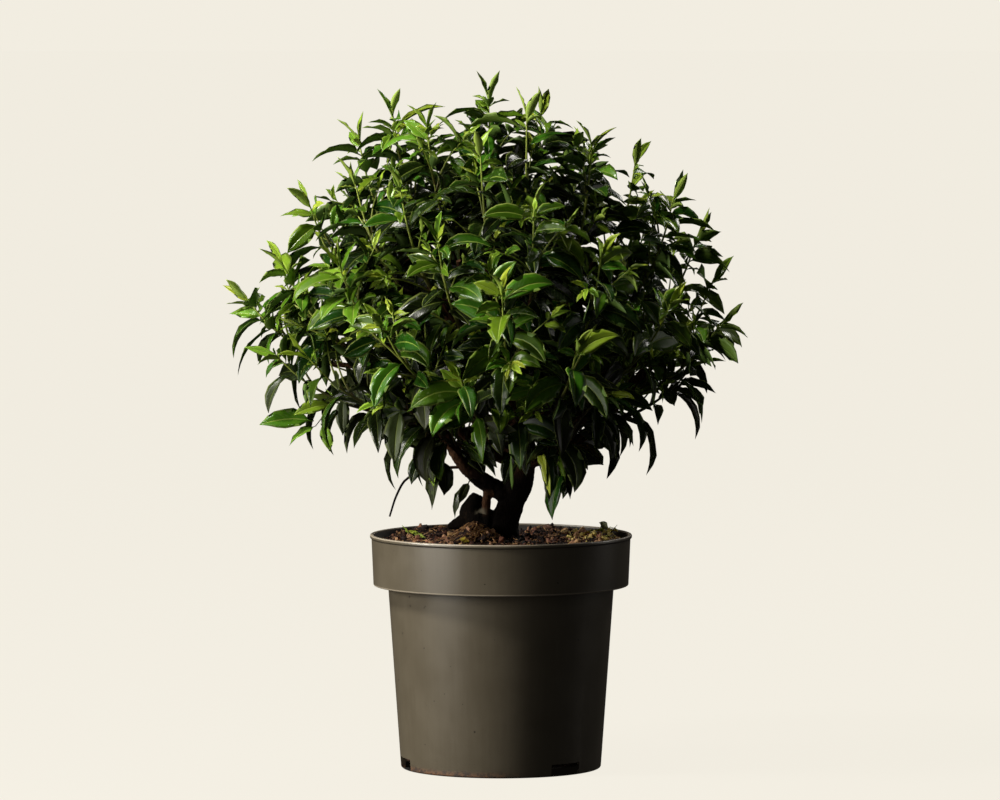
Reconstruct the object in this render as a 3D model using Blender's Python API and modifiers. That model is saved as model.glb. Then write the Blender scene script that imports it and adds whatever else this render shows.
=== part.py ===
"""Potted Portugal laurel, built as a gardener would take it apart: a collared nursery pot,
its plug of compost, the forked wood, and one node for each leafy shoot of the clipped ball.

Metres, +Z up. The floor is Z = 0, and the camera of the photograph looks along +Y.
Everything is laid out round the pot's axis, which stands at POT_AXIS in the part's frame.
"""

import math
import random

import bmesh
import bpy
from mathutils import Matrix, Vector, noise
from mathutils.bvhtree import BVHTree

# Driving dimensions of the pot
POT_AXIS = (0.0178, 0.0028)  # puts the middle of the whole plant's box over the origin
POT_HEIGHT = 0.223
RIM_RADIUS = 0.125
COLLAR_TOP_RADIUS = 0.1236
COLLAR_FOOT_RADIUS = 0.1217
COLLAR_FOOT_HEIGHT = 0.1745
BODY_TOP_RADIUS = 0.1078
BODY_FOOT_RADIUS = 0.0955
WALL = 0.0020
LIP_HEIGHT = 0.0032
SMALL_EDGE = 0.0008  # the bevels on the lip, the collar and the foot
FLOOR_UNDERSIDE = 0.006
FOOT_WIDTH = 0.004
POT_FACETS = 40
SLOT_ANGLES = (-74, 40, 97, 163, -131)  # degrees to the right of the front
SLOT_WIDTH = 0.034
SLOT_HEIGHT = 0.0115
SLOT_DEPTH = 0.022
BASE_HOLE_ANGLES = (45, 135, 225, 315)
BASE_HOLE_RADIUS = 0.007
BASE_HOLE_RING = 0.055

# Driving dimensions of the compost and of what stands in it
GAP = 0.0003  # between neighbouring solids that touch
SOIL_LEVEL = 0.2115
SOIL_FACETS = 30
SOIL_RINGS = (0.027, 0.044, 0.072, 0.100)
SOIL_SHRINKAGE = 0.0004  # besides the gap, so that its corners clear the flats of the pot
HEAP = (-0.031, -0.024, 0.014, 0.013)  # right, away, spread and height of the heap before the stems
BANK = (0.075, 0.020, 0.045, 0.006)
LUMPS = ((60, 0.0022), (140, 0.0012))  # noise scale and height
ROOT_HOLE_CENTRE = (0.003, 0.002)
ROOT_HOLE_RADIUS = 0.0225

# Driving dimensions of the crown
CROWN_CENTRE = Vector((-0.010, 0.0, 0.456))
CROWN_RADIUS = 0.184
CROWN_BULGE = 0.026  # more than that at the widest, just below the middle
CROWN_WAIST = 0.036  # less than that on the underside, where the leaves hang past their shoots
FORK = Vector((0.020, 0.004, 0.288))
SHOOT_LENGTH = 0.100
SHOOT_RADIUS = 0.0020
SHOOT_STEPS = 3
RULE_SHOOTS = 60  # directions tried all round, before those near a named shoot drop out
LOWEST_SHOOT = -0.76  # sine of the slope below which no rule shoot points
SHOOT_SPACING = 0.066
GOLDEN_ANGLE = math.pi * (3 - math.sqrt(5))
SEED = 11

# Driving dimensions of the leaves
LEAF_LENGTH = 0.064
LEAF_SLENDERNESS = 0.37  # width over length
LEAF_THICKNESS = 0.0010
LEAF_SECTIONS = ((0.37, 1.0), (0.71, 0.74))  # share of the length, share of the greatest width
YOUNG_SECTIONS = ((0.48, 1.0),)
LEAF_PLACES = (0.20, 0.36, 0.50, 0.63, 0.75, 0.87)  # shares of the stem
YOUNG_PAIR = ((0.95, 2.4, 0.56), (0.99, 5.4, 0.48))  # share of the stem, turn round it, share of the length
ROOT_SINK = 0.0004  # past the stem's axis
LOWEST_LEAF = 0.250
TRIES = 14  # other angles that a leaf tries before it is left out

# Colours of the finishes
BARK = (0.055, 0.035, 0.024, 1)
LEAF_GREEN = (0.050, 0.150, 0.018, 1)
COMPOST = (0.050, 0.026, 0.015, 1)
POT_GREY = (0.090, 0.082, 0.066, 1)

# Tips of the shoots that make the outline in the photograph: right, away and up from the pot's foot
OUTLINE_SHOOTS = {
    "crown_top": (-0.012, -0.010, 0.638),
    "top_right": (0.038, 0.022, 0.624),
    "top_left": (-0.103, 0.012, 0.622),
    "top_left_front": (-0.070, -0.050, 0.612),
    "shoulder_left": (-0.136, 0.030, 0.598),
    "shoulder_left_front": (-0.138, -0.062, 0.562),
    "upper_left": (-0.182, -0.010, 0.538),
    "left": (-0.206, -0.045, 0.482),
    "far_left": (-0.242, 0.012, 0.446),
    "lower_left": (-0.214, -0.030, 0.396),
    "skirt_left": (-0.160, -0.010, 0.350),
    "skirt_left_front": (-0.058, -0.060, 0.318),
    "skirt_right_front": (0.052, -0.055, 0.316),
    "skirt_right": (0.122, -0.010, 0.356),
    "lower_right": (0.184, 0.012, 0.384),
    "far_right": (0.210, -0.012, 0.426),
    "right": (0.204, 0.034, 0.466),
    "right_back": (0.188, 0.020, 0.508),
    "upper_right": (0.164, -0.024, 0.546),
    "shoulder_right": (0.128, 0.020, 0.576),
    "top_right_front": (0.086, -0.040, 0.594),
}

# Centre lines of the wood, right, away, up and radius in millimetres
TRUNK = (
    (4, 2, 127, 7), (4, 2, 175, 12), (3, 1, 212, 16.5), (3, 1, 231, 14),
    (10, 2, 253, 12.5), (15, 3, 268, 14.5), (20, 4, 288, 13), (24, 6, 312, 9.5),
)
LEFT_LIMB = (
    (10, 1, 258, 9.5), (-14, -3, 272, 8.5), (-32, -8, 286, 6.8), (-44, -12, 303, 5.9),
    (-54, -16, 320, 5.2), (-67, -20, 335, 4.6), (-84, -24, 360, 4), (-104, -24, 402, 3),
)
BASE_STEM = ((-7, -3, 203, 5.5), (-12, -4, 226, 4.8), (-14, -4, 245, 4), (-13, -3, 266, 4.4))
BURL = ((-2, 5, 218, 11), (-16, 6, 234, 14), (-27, 7, 242, 13.5), (-25, 7, 253, 8.5), (-22, 7, 260, 5))
BURL_FOOT = ((-18, 7, 236, 9), (-36, 8, 233, 8), (-50, 10, 229, 3))
BARE_TWIG = (
    (-34, -9, 288, 1.6), (-62, -12, 286, 1.3), (-88, -14, 278, 1.2),
    (-99, -15, 262, 1.1), (-106, -16, 241, 0.9),
)
LEADER = ((23, 6, 305, 9), (16, 6, 345, 7), (4, 4, 395, 5.5), (-4, 1, 450, 4.2), (-8, -2, 512, 2.8))

# Limbs that leave one place all round: bearings in degrees, reach, rise and radius in metres
LOW_WHORL = ((-95, -48, -6, 38, 84, 128, 166, -148), 0.118, 0.095, 0.0066)
HIGH_WHORL = ((-120, -65, 5, 62, 118, 178), 0.088, 0.092, 0.0046)


def millimetres(route):
    """Points and radii in metres from rows of right, away, up and radius in millimetres."""
    points = [Vector(row[:3]) * 0.001 for row in route]
    radii = [row[3] * 0.001 for row in route]
    return points, radii


def bend(start, through, end, steps):
    """Points of the quadratic curve from start to end, pulled towards through."""
    shares = [i / steps for i in range(steps + 1)]
    return [start * (1 - t) ** 2 + through * 2 * t * (1 - t) + end * t * t for t in shares]


def taper(first, last, count):
    return [first + (last - first) * i / (count - 1) for i in range(count)]


def whorl(origin, bearings, reach, rise, radius):
    """Limbs that leave origin at these bearings and curve upwards."""
    limbs = []
    for bearing in bearings:
        out = Vector((math.cos(math.radians(bearing)), math.sin(math.radians(bearing)), 0))
        end = origin + out * reach + Vector((0, 0, rise))
        knee = origin + out * reach * 0.62 + Vector((0, 0, rise * 0.22))
        limbs.append((bend(origin, knee, end, 3), taper(radius, radius * 0.5, 4)))
    return limbs


def limbs_of_the_wood():
    """Centre lines and radii of the limbs that carry the twigs."""
    leader = millimetres(LEADER)
    return [millimetres(LEFT_LIMB), leader] + whorl(FORK, *LOW_WHORL) + whorl(leader[0][2], *HIGH_WHORL)


class Leaf:
    """One blade: an arc that starts along aim and turns towards the ground, folded along its midrib."""

    def __init__(self, base, aim, face, length, droop, fold, slenderness, sections):
        self.base = base
        self.aim = aim.normalized()
        self.face = face.normalized()
        self.length = length
        self.droop = droop
        self.fold = fold
        self.half_width = length * slenderness / 2
        self.sections = sections
        down = Vector((0, 0, -1))
        across = down - self.aim * down.dot(self.aim)
        self.turn = across.normalized() if across.length > 0.05 else self.face.cross(self.aim).normalized()

    def frame(self, share):
        """Place, sideways and upper-side directions at a share of the length."""
        angle = self.droop * share
        radius = self.length / self.droop
        place = self.base + (self.aim * math.sin(angle) + self.turn * (1 - math.cos(angle))) * radius
        heading = self.aim * math.cos(angle) + self.turn * math.sin(angle)
        side = heading.cross(self.face).normalized()
        return place, side, side.cross(heading)

    def solid(self, grow=0.0):
        """Corners and triangles of the blade, four corners a section, split alike on both faces."""
        corners = [self.base - self.aim * ROOT_SINK]
        for share, width in self.sections:
            place, side, upper = self.frame(share)
            half = self.half_width * width + grow
            lift = upper * half * math.tan(self.fold)
            thick = upper * (LEAF_THICKNESS / 2 + grow)
            corners += [place - side * half + lift, place + thick, place + side * half + lift, place - thick]
        corners.append(self.frame(1.0)[0])
        tip = len(corners) - 1
        faces = []
        for k in range(4):
            after = (k + 1) % 4
            faces.append((0, 1 + after, 1 + k))
            faces.append((tip, tip - 4 + k, tip - 4 + after))
        for ring in range(len(self.sections) - 1):
            low, high = 1 + 4 * ring, 5 + 4 * ring
            for edge in (0, 2):
                for rib in (1, 3):
                    split = [(low + edge, low + rib, high + rib), (low + edge, high + rib, high + edge)]
                    leads = (rib - edge) % 4 == 1
                    faces += split if leads else [face[::-1] for face in split]
        return corners, faces


class Shoot:
    """A green stem from its seat on the wood to its tip, and the leaves along it."""

    def __init__(self, name, tip):
        self.name = name
        self.tip = tip
        self.leaves = []

    def route(self, dice, wander):
        """Lays the stem out from the tip backwards, leaning off its best line by wander."""
        tip = self.tip
        outward = (tip - FORK).normalized()
        rises = tip.z > CROWN_CENTRE.z
        lift = Vector((0, 0, 0.34 if rises else 0.12))
        lean = Vector([dice.uniform(-1, 1) for _ in range(3)]) * wander
        length = min(SHOOT_LENGTH, (tip - FORK).length * 0.5) * dice.uniform(0.93, 1.07)
        seat = tip - (outward + lift + lean).normalized() * length
        belly = (outward * 0.5 - Vector((0, 0, 1))).normalized() * length
        arches_down = tip.z < CROWN_CENTRE.z - 0.08
        knee = (seat + tip) / 2 + belly * (-0.14 if arches_down else 0.16)
        self.points = bend(seat, knee, tip, SHOOT_STEPS)
        self.radii = taper(SHOOT_RADIUS, SHOOT_RADIUS * 0.7, len(self.points))
        self.start = (self.points[1] - self.points[0]).normalized()

    def at(self, share):
        """Place and heading at a share of the stem."""
        spot = min(share, 0.999) * (len(self.points) - 1)
        index = int(spot)
        a, b = self.points[index], self.points[index + 1]
        return a.lerp(b, spot - index), (b - a).normalized()


def reach(direction):
    """Distance from the crown's centre to the tips of its shoots, after the outline in the photograph."""
    slope = math.degrees(math.asin(direction.z))
    bulge = math.exp(-(((slope + 8) / 22) ** 2))
    waist = math.exp(-(((slope + 56) / 18) ** 2))
    return CROWN_RADIUS + CROWN_BULGE * bulge - CROWN_WAIST * waist


def shoots_of_the_crown():
    """The named shoots of the outline, then an even spread over the rest of the ball."""
    dice = random.Random(SEED)
    shoots = [Shoot("shoot_" + name, Vector(tip)) for name, tip in OUTLINE_SHOOTS.items()]
    count = 0
    for i in range(RULE_SHOOTS):
        z = 1 - 2 * (i + 0.5) / RULE_SHOOTS
        if z < LOWEST_SHOOT:
            continue
        flat = math.sqrt(1 - z * z)
        turn = i * GOLDEN_ANGLE + 0.4
        direction = Vector((flat * math.cos(turn), flat * math.sin(turn), z))
        tip = CROWN_CENTRE + direction * reach(direction) * dice.uniform(0.93, 1.0)
        if min((tip - other.tip).length for other in shoots) < SHOOT_SPACING:
            continue
        count += 1
        shoots.append(Shoot(f"shoot_{count:02d}", tip))
    return shoots


def twig_feet(shoot, limbs):
    """Places on the limbs that could carry the shoot's twig, the best first."""
    outward = (shoot.points[0] - FORK).normalized()
    feet = []
    for points, radii in limbs:
        for a, b, radius in zip(points, points[1:], radii[1:]):
            for share in (0.0, 0.5):
                foot = a.lerp(b, share)
                way = shoot.points[0] - foot
                cost = way.length * (1.6 - min(way.normalized().dot(outward), 0.9))
                feet.append((cost, tuple(foot), radius))
    return sorted(feet)


def twig_from(foot, radius, shoot):
    """A twig to just short of the shoot's seat, its last stretch in line with the shoot."""
    end = shoot.points[0] - shoot.start * GAP
    knee = end - shoot.start * min(0.012, (end - foot).length * 0.4)
    return [foot, knee, end], [min(0.0026, radius * 0.9), SHOOT_RADIUS * 1.25, SHOOT_RADIUS * 1.1]


def bar_shell(points, radii, sides):
    """Corners and faces of a tapering bar along the points, carried round its bends without a twist."""
    headings = [(b - a).normalized() for a, b in zip(points, points[1:])]
    turn = headings[0].to_track_quat("Z", "Y").to_matrix()
    corners = []
    for i, (point, radius) in enumerate(zip(points, radii)):
        before, after = headings[max(i - 1, 0)], headings[min(i, len(headings) - 1)]
        ahead = (before + after).normalized()
        turn = (turn @ Vector((0, 0, 1))).rotation_difference(ahead).to_matrix() @ turn
        for k in range(sides):
            angle = 2 * math.pi * k / sides
            corners.append(point + turn @ Vector((math.cos(angle), math.sin(angle), 0)) * radius)
    faces = [tuple(range(sides))[::-1], tuple(range(len(corners) - sides, len(corners)))]
    for i in range(len(points) - 1):
        for k in range(sides):
            a, b = i * sides + k, i * sides + (k + 1) % sides
            faces.append((a, b, b + sides, a + sides))
    return corners, faces


class Obstacle:
    """A surface that later stems and leaves stay clear of."""

    def __init__(self, corners, faces):
        self.tree = BVHTree.FromPolygons(corners, faces)
        low = Vector([min(c[k] for c in corners) for k in range(3)])
        high = Vector([max(c[k] for c in corners) for k in range(3)])
        self.middle = (low + high) / 2
        self.radius = (high - low).length / 2

    def meets(self, other):
        if (self.middle - other.middle).length > self.radius + other.radius:
            return False
        return bool(self.tree.overlap(other.tree))


def bar_obstacle(points, radii):
    """The obstacle that a bar makes, with a little air round it."""
    return Obstacle(*bar_shell(points, [radius + 2 * GAP for radius in radii], 4))


def clear_twig(shoot, limbs, stems):
    """The best twig that can carry the shoot and stands clear of the other stems, or None."""
    for _, foot, radius in twig_feet(shoot, limbs)[:8]:
        twig = twig_from(Vector(foot), radius, shoot)
        if not any(bar_obstacle(*twig).meets(stem) for stem in stems):
            return twig
    return None


def seat_shoots(shoots, limbs, base):
    """Lays out each shoot and the twig that carries it. Returns the twigs, and the obstacles so far."""
    dice = random.Random(SEED + 2)
    wood = [bar_obstacle(*line) for line in base + limbs]
    stems = []
    twigs = []
    for shoot in shoots:
        twig = None
        wander = 0.0
        while twig is None:
            shoot.route(dice, wander)
            wander += 0.012
            stem = bar_obstacle(shoot.points, shoot.radii)
            if not any(stem.meets(other) for other in wood + stems):
                twig = clear_twig(shoot, limbs, stems)
        stems.append(stem)
        wood.append(bar_obstacle(*twig))
        twigs.append(twig)
    return twigs, wood, stems


def leaf_on(shoot, share, turn, length, young, dice, wobble):
    """One leaf at a share of the stem, turned round it, with its own droop and tilt."""
    base, heading = shoot.at(share)
    round_stem = Matrix.Rotation(turn + wobble * dice.uniform(-1, 1), 3, heading)
    out = round_stem @ heading.orthogonal().normalized()
    opening = (0.30 if young else 1.30 - 0.40 * share) + wobble * dice.uniform(-0.35, 0.35)
    aim = heading * math.cos(opening) + out * math.sin(opening)
    tilt = Vector([dice.uniform(-1, 1) for _ in range(3)])
    outward = (base - CROWN_CENTRE).normalized()
    face = Vector((0, 0, 0.50)) + outward * 0.80 + (heading - out) * 0.20 + tilt * 0.28
    depth = max(0.0, (CROWN_CENTRE.z - base.z) / CROWN_RADIUS)
    droop = (0.35 if young else 0.95 + 0.45 * depth) + dice.uniform(-0.20, 0.40)
    fold = math.radians(dice.uniform(12, 24) + (10 if young else 0))
    slenderness = LEAF_SLENDERNESS * dice.uniform(0.88, 1.10)
    sections = YOUNG_SECTIONS if young else LEAF_SECTIONS
    return Leaf(base, aim, face, length, droop, fold, slenderness, sections)


def leaves_wanted(dice):
    """Share of the stem, turn, length and youth of each leaf that a shoot tries to grow."""
    first = dice.uniform(0, 2 * math.pi)
    wanted = []
    for index, share in enumerate(LEAF_PLACES):
        length = LEAF_LENGTH * dice.uniform(0.84, 1.06) * (1.04 - 0.20 * share)
        wanted.append((share, first + GOLDEN_ANGLE * index, length, False))
    for share, turn, length in YOUNG_PAIR:
        wanted.append((share, first + turn, LEAF_LENGTH * length, True))
    return wanted


def grow_leaves(shoots, wood, stems):
    """Gives every shoot its leaves in turn, each bent clear of all that stands already."""
    dice = random.Random(SEED + 1)
    placed = wood + stems
    for shoot, own_stem in zip(shoots, stems):
        for share, turn, length, young in leaves_wanted(dice):
            for attempt in range(TRIES):
                shrink = 1 - 0.02 * attempt
                leaf = leaf_on(shoot, share, turn, length * shrink, young, dice, 0.25 + 0.09 * attempt)
                body = Obstacle(*leaf.solid(grow=GAP))
                hangs_low = leaf.frame(1.0)[0].z < LOWEST_LEAF
                if not hangs_low and not any(body.meets(other) for other in placed if other is not own_stem):
                    shoot.leaves.append(leaf)
                    placed.append(body)
                    break


# From here on the routes above become objects

def material(name, colour, roughness):
    made = bpy.data.materials.new(name)
    made.use_nodes = True
    shader = made.node_tree.nodes["Principled BSDF"]
    shader.inputs["Base Color"].default_value = colour
    shader.inputs["Roughness"].default_value = roughness
    shader.inputs["Metallic"].default_value = 0.0
    return made


def object_from(name, data, collection):
    made = bpy.data.objects.new(name, data)
    collection.objects.link(made)
    return made


def poly_curve(name, points, radii, closed):
    curve = bpy.data.curves.new(name, "CURVE")
    curve.dimensions = "3D"
    spline = curve.splines.new("POLY")
    spline.points.add(len(points) - 1)
    spline.use_cyclic_u = closed
    for target, point, radius in zip(spline.points, points, radii):
        target.co = (*point, 1)
        target.radius = radius
    return curve


def section(sides, guides):
    """A closed curve with this many corners on a circle of 1 m, which bars take as their section."""
    name = f"section_{sides}_sided"
    if name in bpy.data.objects:
        return bpy.data.objects[name]
    turns = [2 * math.pi * k / sides for k in range(sides)]
    ring = poly_curve(name, [(math.cos(turn), math.sin(turn), 0) for turn in turns], [1] * sides, True)
    made = object_from(name, ring, guides)
    made.hide_render = True
    made.display_type = "WIRE"
    return made


def bar_object(name, points, radii, sides, collection, guides):
    """A bar that tapers along the points, made a mesh with its caps welded on."""
    curve = poly_curve(name, points, radii, False)
    curve.bevel_mode = "OBJECT"
    curve.bevel_object = section(sides, guides)
    curve.use_fill_caps = True
    guide = object_from(name + "_route", curve, collection)
    mesh = evaluated_mesh(guide)
    bm = bmesh.new()
    bm.from_mesh(mesh)
    bmesh.ops.remove_doubles(bm, verts=bm.verts, dist=0.00001)
    bmesh.ops.recalc_face_normals(bm, faces=bm.faces)
    bm.to_mesh(mesh)
    bm.free()
    bpy.data.objects.remove(guide)
    bpy.data.curves.remove(curve)
    return object_from(name, mesh, collection)


def evaluated_mesh(made):
    """A new mesh of the object with its modifiers applied."""
    bpy.context.view_layer.update()
    graph = bpy.context.evaluated_depsgraph_get()
    return bpy.data.meshes.new_from_object(made.evaluated_get(graph))


def finish(made, surface, crease):
    """Applies the modifiers, sets the material and shades the faces smooth up to the crease angle."""
    made.data = evaluated_mesh(made)
    made.modifiers.clear()
    made.data.materials.clear()
    made.data.materials.append(surface)
    made.data.shade_smooth()
    made.data.set_sharp_from_angle(angle=math.radians(crease))
    return made


def union(body, collection):
    """Joins all that the collection holds to body, then empties the collection.

    The solver is MANIFOLD, because EXACT leaves edges that touch where leaf roots share a stem.
    """
    joiner = body.modifiers.new("join", "BOOLEAN")
    joiner.operation = "UNION"
    joiner.operand_type = "COLLECTION"
    joiner.collection = collection
    joiner.solver = "MANIFOLD"
    joined = evaluated_mesh(body)
    body.modifiers.clear()
    body.data = joined
    for used in list(collection.objects):
        bpy.data.objects.remove(used)


def cut(body, name, location, cutters):
    """Cuts the active object from body, and keeps it as a hidden cutter at this place."""
    cutter = bpy.context.object
    cutter.name = name + "_cutter"
    cutter.location = location
    cutter.hide_render = True
    cutter.display_type = "WIRE"
    for holder in list(cutter.users_collection):
        holder.objects.unlink(cutter)
    cutters.objects.link(cutter)
    difference = body.modifiers.new(name, "BOOLEAN")
    difference.operation = "DIFFERENCE"
    difference.object = cutter
    return cutter


def turned(name, profile, facets, collection):
    """A solid of revolution about Z from a profile of radius and height, inside first."""
    mesh = bpy.data.meshes.new(name)
    mesh.from_pydata([(r, 0, z) for r, z in profile], [(i, i + 1) for i in range(len(profile) - 1)], [])
    made = object_from(name, mesh, collection)
    screw = made.modifiers.new("turn", "SCREW")
    screw.steps = facets
    screw.render_steps = facets
    screw.use_merge_vertices = True
    screw.merge_threshold = 0.00001
    return made


def body_radius(height):
    """Outer radius of the pot's tapering body."""
    return BODY_FOOT_RADIUS + (BODY_TOP_RADIUS - BODY_FOOT_RADIUS) * height / COLLAR_FOOT_HEIGHT


def make_pot(collection, cutters, surface):
    """The moulded pot: tapering body, stepped-out collar, lip, foot ring and drainage."""
    inner_floor = FLOOR_UNDERSIDE + WALL
    foot = body_radius(0) - SMALL_EDGE
    profile = [
        (0, inner_floor),
        (body_radius(inner_floor) - WALL, inner_floor),
        (BODY_TOP_RADIUS - WALL, COLLAR_FOOT_HEIGHT + WALL),
        (COLLAR_FOOT_RADIUS - WALL, COLLAR_FOOT_HEIGHT + WALL),
        (COLLAR_TOP_RADIUS - WALL, POT_HEIGHT),
        (RIM_RADIUS - SMALL_EDGE, POT_HEIGHT),
        (RIM_RADIUS, POT_HEIGHT - SMALL_EDGE),
        (RIM_RADIUS, POT_HEIGHT - LIP_HEIGHT),
        (COLLAR_TOP_RADIUS, POT_HEIGHT - LIP_HEIGHT - SMALL_EDGE),
        (COLLAR_FOOT_RADIUS, COLLAR_FOOT_HEIGHT + SMALL_EDGE),
        (COLLAR_FOOT_RADIUS - SMALL_EDGE, COLLAR_FOOT_HEIGHT),
        (BODY_TOP_RADIUS, COLLAR_FOOT_HEIGHT),
        (body_radius(0.003), 0.003),
        (foot, 0),
        (foot - FOOT_WIDTH, 0),
        (foot - FOOT_WIDTH, FLOOR_UNDERSIDE),
        (0, FLOOR_UNDERSIDE),
    ]
    pot = turned("pot", profile, POT_FACETS, collection)
    for index, angle in enumerate(SLOT_ANGLES):
        bearing = math.radians(angle)
        bpy.ops.mesh.primitive_cube_add(size=1, scale=(SLOT_WIDTH, SLOT_DEPTH, SLOT_HEIGHT * 2))
        place = (math.sin(bearing) * BODY_FOOT_RADIUS, -math.cos(bearing) * BODY_FOOT_RADIUS, 0)
        cut(pot, f"slot_{index}", place, cutters).rotation_euler.z = bearing
    for index, angle in enumerate(BASE_HOLE_ANGLES):
        bearing = math.radians(angle)
        bpy.ops.mesh.primitive_cylinder_add(vertices=10, radius=BASE_HOLE_RADIUS, depth=WALL * 6)
        place = (math.cos(bearing) * BASE_HOLE_RING, math.sin(bearing) * BASE_HOLE_RING, inner_floor)
        cut(pot, f"base_hole_{index}", place, cutters)
    return finish(pot, surface, 28)


def hill(x, y, right, away, spread, height):
    return height * math.exp(-((x - right) ** 2 + (y - away) ** 2) / (2 * spread ** 2))


def soil_height(x, y):
    """Height of the crumbled surface, which levels out where it meets the pot."""
    lumps = sum(noise.noise(Vector((x, y, 0)) * scale) * height for scale, height in LUMPS)
    relief = hill(x, y, *HEAP) + hill(x, y, *BANK) + lumps
    margin = (COLLAR_FOOT_RADIUS - WALL - math.hypot(x, y)) / 0.012
    return SOIL_LEVEL + relief * min(1.0, max(0.0, margin))


def make_soil(collection, cutters, surface):
    """The compost fills the pot, follows its step, and has one plain hole for the root stock."""
    floor = FLOOR_UNDERSIDE + WALL + GAP
    step = COLLAR_FOOT_HEIGHT + WALL + GAP
    slope = (COLLAR_TOP_RADIUS - COLLAR_FOOT_RADIUS) / (POT_HEIGHT - COLLAR_FOOT_HEIGHT)
    inset = WALL + GAP + SOIL_SHRINKAGE
    profile = [(0.0, SOIL_LEVEL)]
    profile += [(radius, SOIL_LEVEL) for radius in SOIL_RINGS]
    profile += [
        (COLLAR_FOOT_RADIUS + (SOIL_LEVEL - COLLAR_FOOT_HEIGHT) * slope - inset, SOIL_LEVEL),
        (COLLAR_FOOT_RADIUS - inset, step),
        (BODY_TOP_RADIUS - inset, step),
        (body_radius(floor) - inset, floor),
        (0.0, floor),
    ]
    soil = turned("soil", profile, SOIL_FACETS, collection)
    soil.data = evaluated_mesh(soil)
    soil.modifiers.clear()
    for vert in soil.data.vertices:
        if vert.co.z > SOIL_LEVEL - GAP:
            vert.co.z = soil_height(vert.co.x, vert.co.y)
    top = 0.1
    bottom = TRUNK[0][2] * 0.001 - GAP
    bpy.ops.mesh.primitive_cylinder_add(vertices=20, radius=ROOT_HOLE_RADIUS, depth=2 * top)
    cut(soil, "root_hole", (*ROOT_HOLE_CENTRE, bottom + top), cutters)
    return finish(soil, surface, 40)


def make_wood(limbs, twigs, collection, scrap, guides, surface):
    """Root stock, trunk, burl, limbs and twigs, fused as the one body that they grow as."""
    wood = bar_object("wood", *millimetres(TRUNK), 10, collection, guides)
    for index, route in enumerate((BASE_STEM, BURL, BURL_FOOT)):
        bar_object(f"foot_{index}", *millimetres(route), 7, scrap, guides)
    bar_object("bare_twig", *millimetres(BARE_TWIG), 3, scrap, guides)
    for index, (points, radii) in enumerate(limbs):
        bar_object(f"limb_{index}", points, radii, 6 if index < 2 else 4, scrap, guides)
    for index, (points, radii) in enumerate(twigs):
        bar_object(f"twig_{index}", points, radii, 3, scrap, guides)
    union(wood, scrap)
    return finish(wood, surface, 50)


def make_shoot(shoot, collection, scrap, guides, surface):
    """One green stem with its leaves, fused where their roots are sunk in the stem."""
    stem = bar_object(shoot.name, shoot.points, shoot.radii, 3, collection, guides)
    for index, leaf in enumerate(shoot.leaves):
        corners, faces = leaf.solid()
        blade = bpy.data.meshes.new(f"leaf_{index}")
        blade.from_pydata(corners, [], faces)
        object_from(blade.name, blade, scrap)
    union(stem, scrap)
    return finish(stem, surface, 25)


def main():
    for old in list(bpy.data.objects):
        bpy.data.objects.remove(old)
    scene = bpy.context.scene.collection
    plant = bpy.data.collections.new("potted_portugal_laurel")
    cutters = bpy.data.collections.new("cutters_and_guides")
    scrap = bpy.data.collections.new("pieces_to_join")
    for collection in (plant, cutters, scrap):
        scene.children.link(collection)
    axis = bpy.data.objects.new("pot_axis", None)
    plant.objects.link(axis)

    limbs = limbs_of_the_wood()
    shoots = shoots_of_the_crown()
    base = [millimetres(route) for route in (TRUNK, BASE_STEM, BURL, BURL_FOOT, BARE_TWIG)]
    twigs, wood, stems = seat_shoots(shoots, limbs, base)
    grow_leaves(shoots, wood, stems)

    make_pot(plant, cutters, material("pot_plastic", POT_GREY, 0.45))
    make_soil(plant, cutters, material("compost", COMPOST, 0.95))
    make_wood(limbs, twigs, plant, scrap, cutters, material("bark", BARK, 0.85))
    green = material("leaf", LEAF_GREEN, 0.35)
    for shoot in shoots:
        make_shoot(shoot, plant, scrap, cutters, green)
    for piece in list(plant.objects) + list(cutters.objects):
        if piece is not axis:
            piece.parent = axis
    axis.location = (*POT_AXIS, 0)


main()
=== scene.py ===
"""Potted Portugal laurel: the finished look of the plant, its compost and its nursery pot.

Metres, +Z up, in the frame of the CAD model, whose nodes the finer pieces here stand for.
Every piece is laid out round the pot's axis and then moved to where the CAD pot stands.
"""

import math
import random

import bmesh
import bpy
import numpy as np
from mathutils import Matrix, Vector, noise
from mathutils.bvhtree import BVHTree


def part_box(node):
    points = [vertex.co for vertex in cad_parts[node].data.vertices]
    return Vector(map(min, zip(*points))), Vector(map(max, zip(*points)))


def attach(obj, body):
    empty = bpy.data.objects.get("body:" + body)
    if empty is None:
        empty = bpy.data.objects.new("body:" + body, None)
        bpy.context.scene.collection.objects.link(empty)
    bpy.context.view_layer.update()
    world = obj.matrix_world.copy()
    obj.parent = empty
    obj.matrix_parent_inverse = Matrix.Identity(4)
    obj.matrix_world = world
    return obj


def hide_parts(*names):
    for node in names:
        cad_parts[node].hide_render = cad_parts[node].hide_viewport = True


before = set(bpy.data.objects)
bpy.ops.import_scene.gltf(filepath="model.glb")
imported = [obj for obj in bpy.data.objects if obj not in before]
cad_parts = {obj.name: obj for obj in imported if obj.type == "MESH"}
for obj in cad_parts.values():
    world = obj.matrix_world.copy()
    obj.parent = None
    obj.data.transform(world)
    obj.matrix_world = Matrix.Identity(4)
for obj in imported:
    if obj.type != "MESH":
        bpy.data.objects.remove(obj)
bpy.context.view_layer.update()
pot_low, pot_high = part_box("pot")
POT_AXIS = Vector(((pot_low.x + pot_high.x) / 2, (pot_low.y + pot_high.y) / 2, 0))


# The nursery pot
# Thin-walled container of recycled plastic, moulded in one piece and still satin from the mould.
# A deep collar steps out of the tapering body, and notches at the foot let the water run off.

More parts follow.
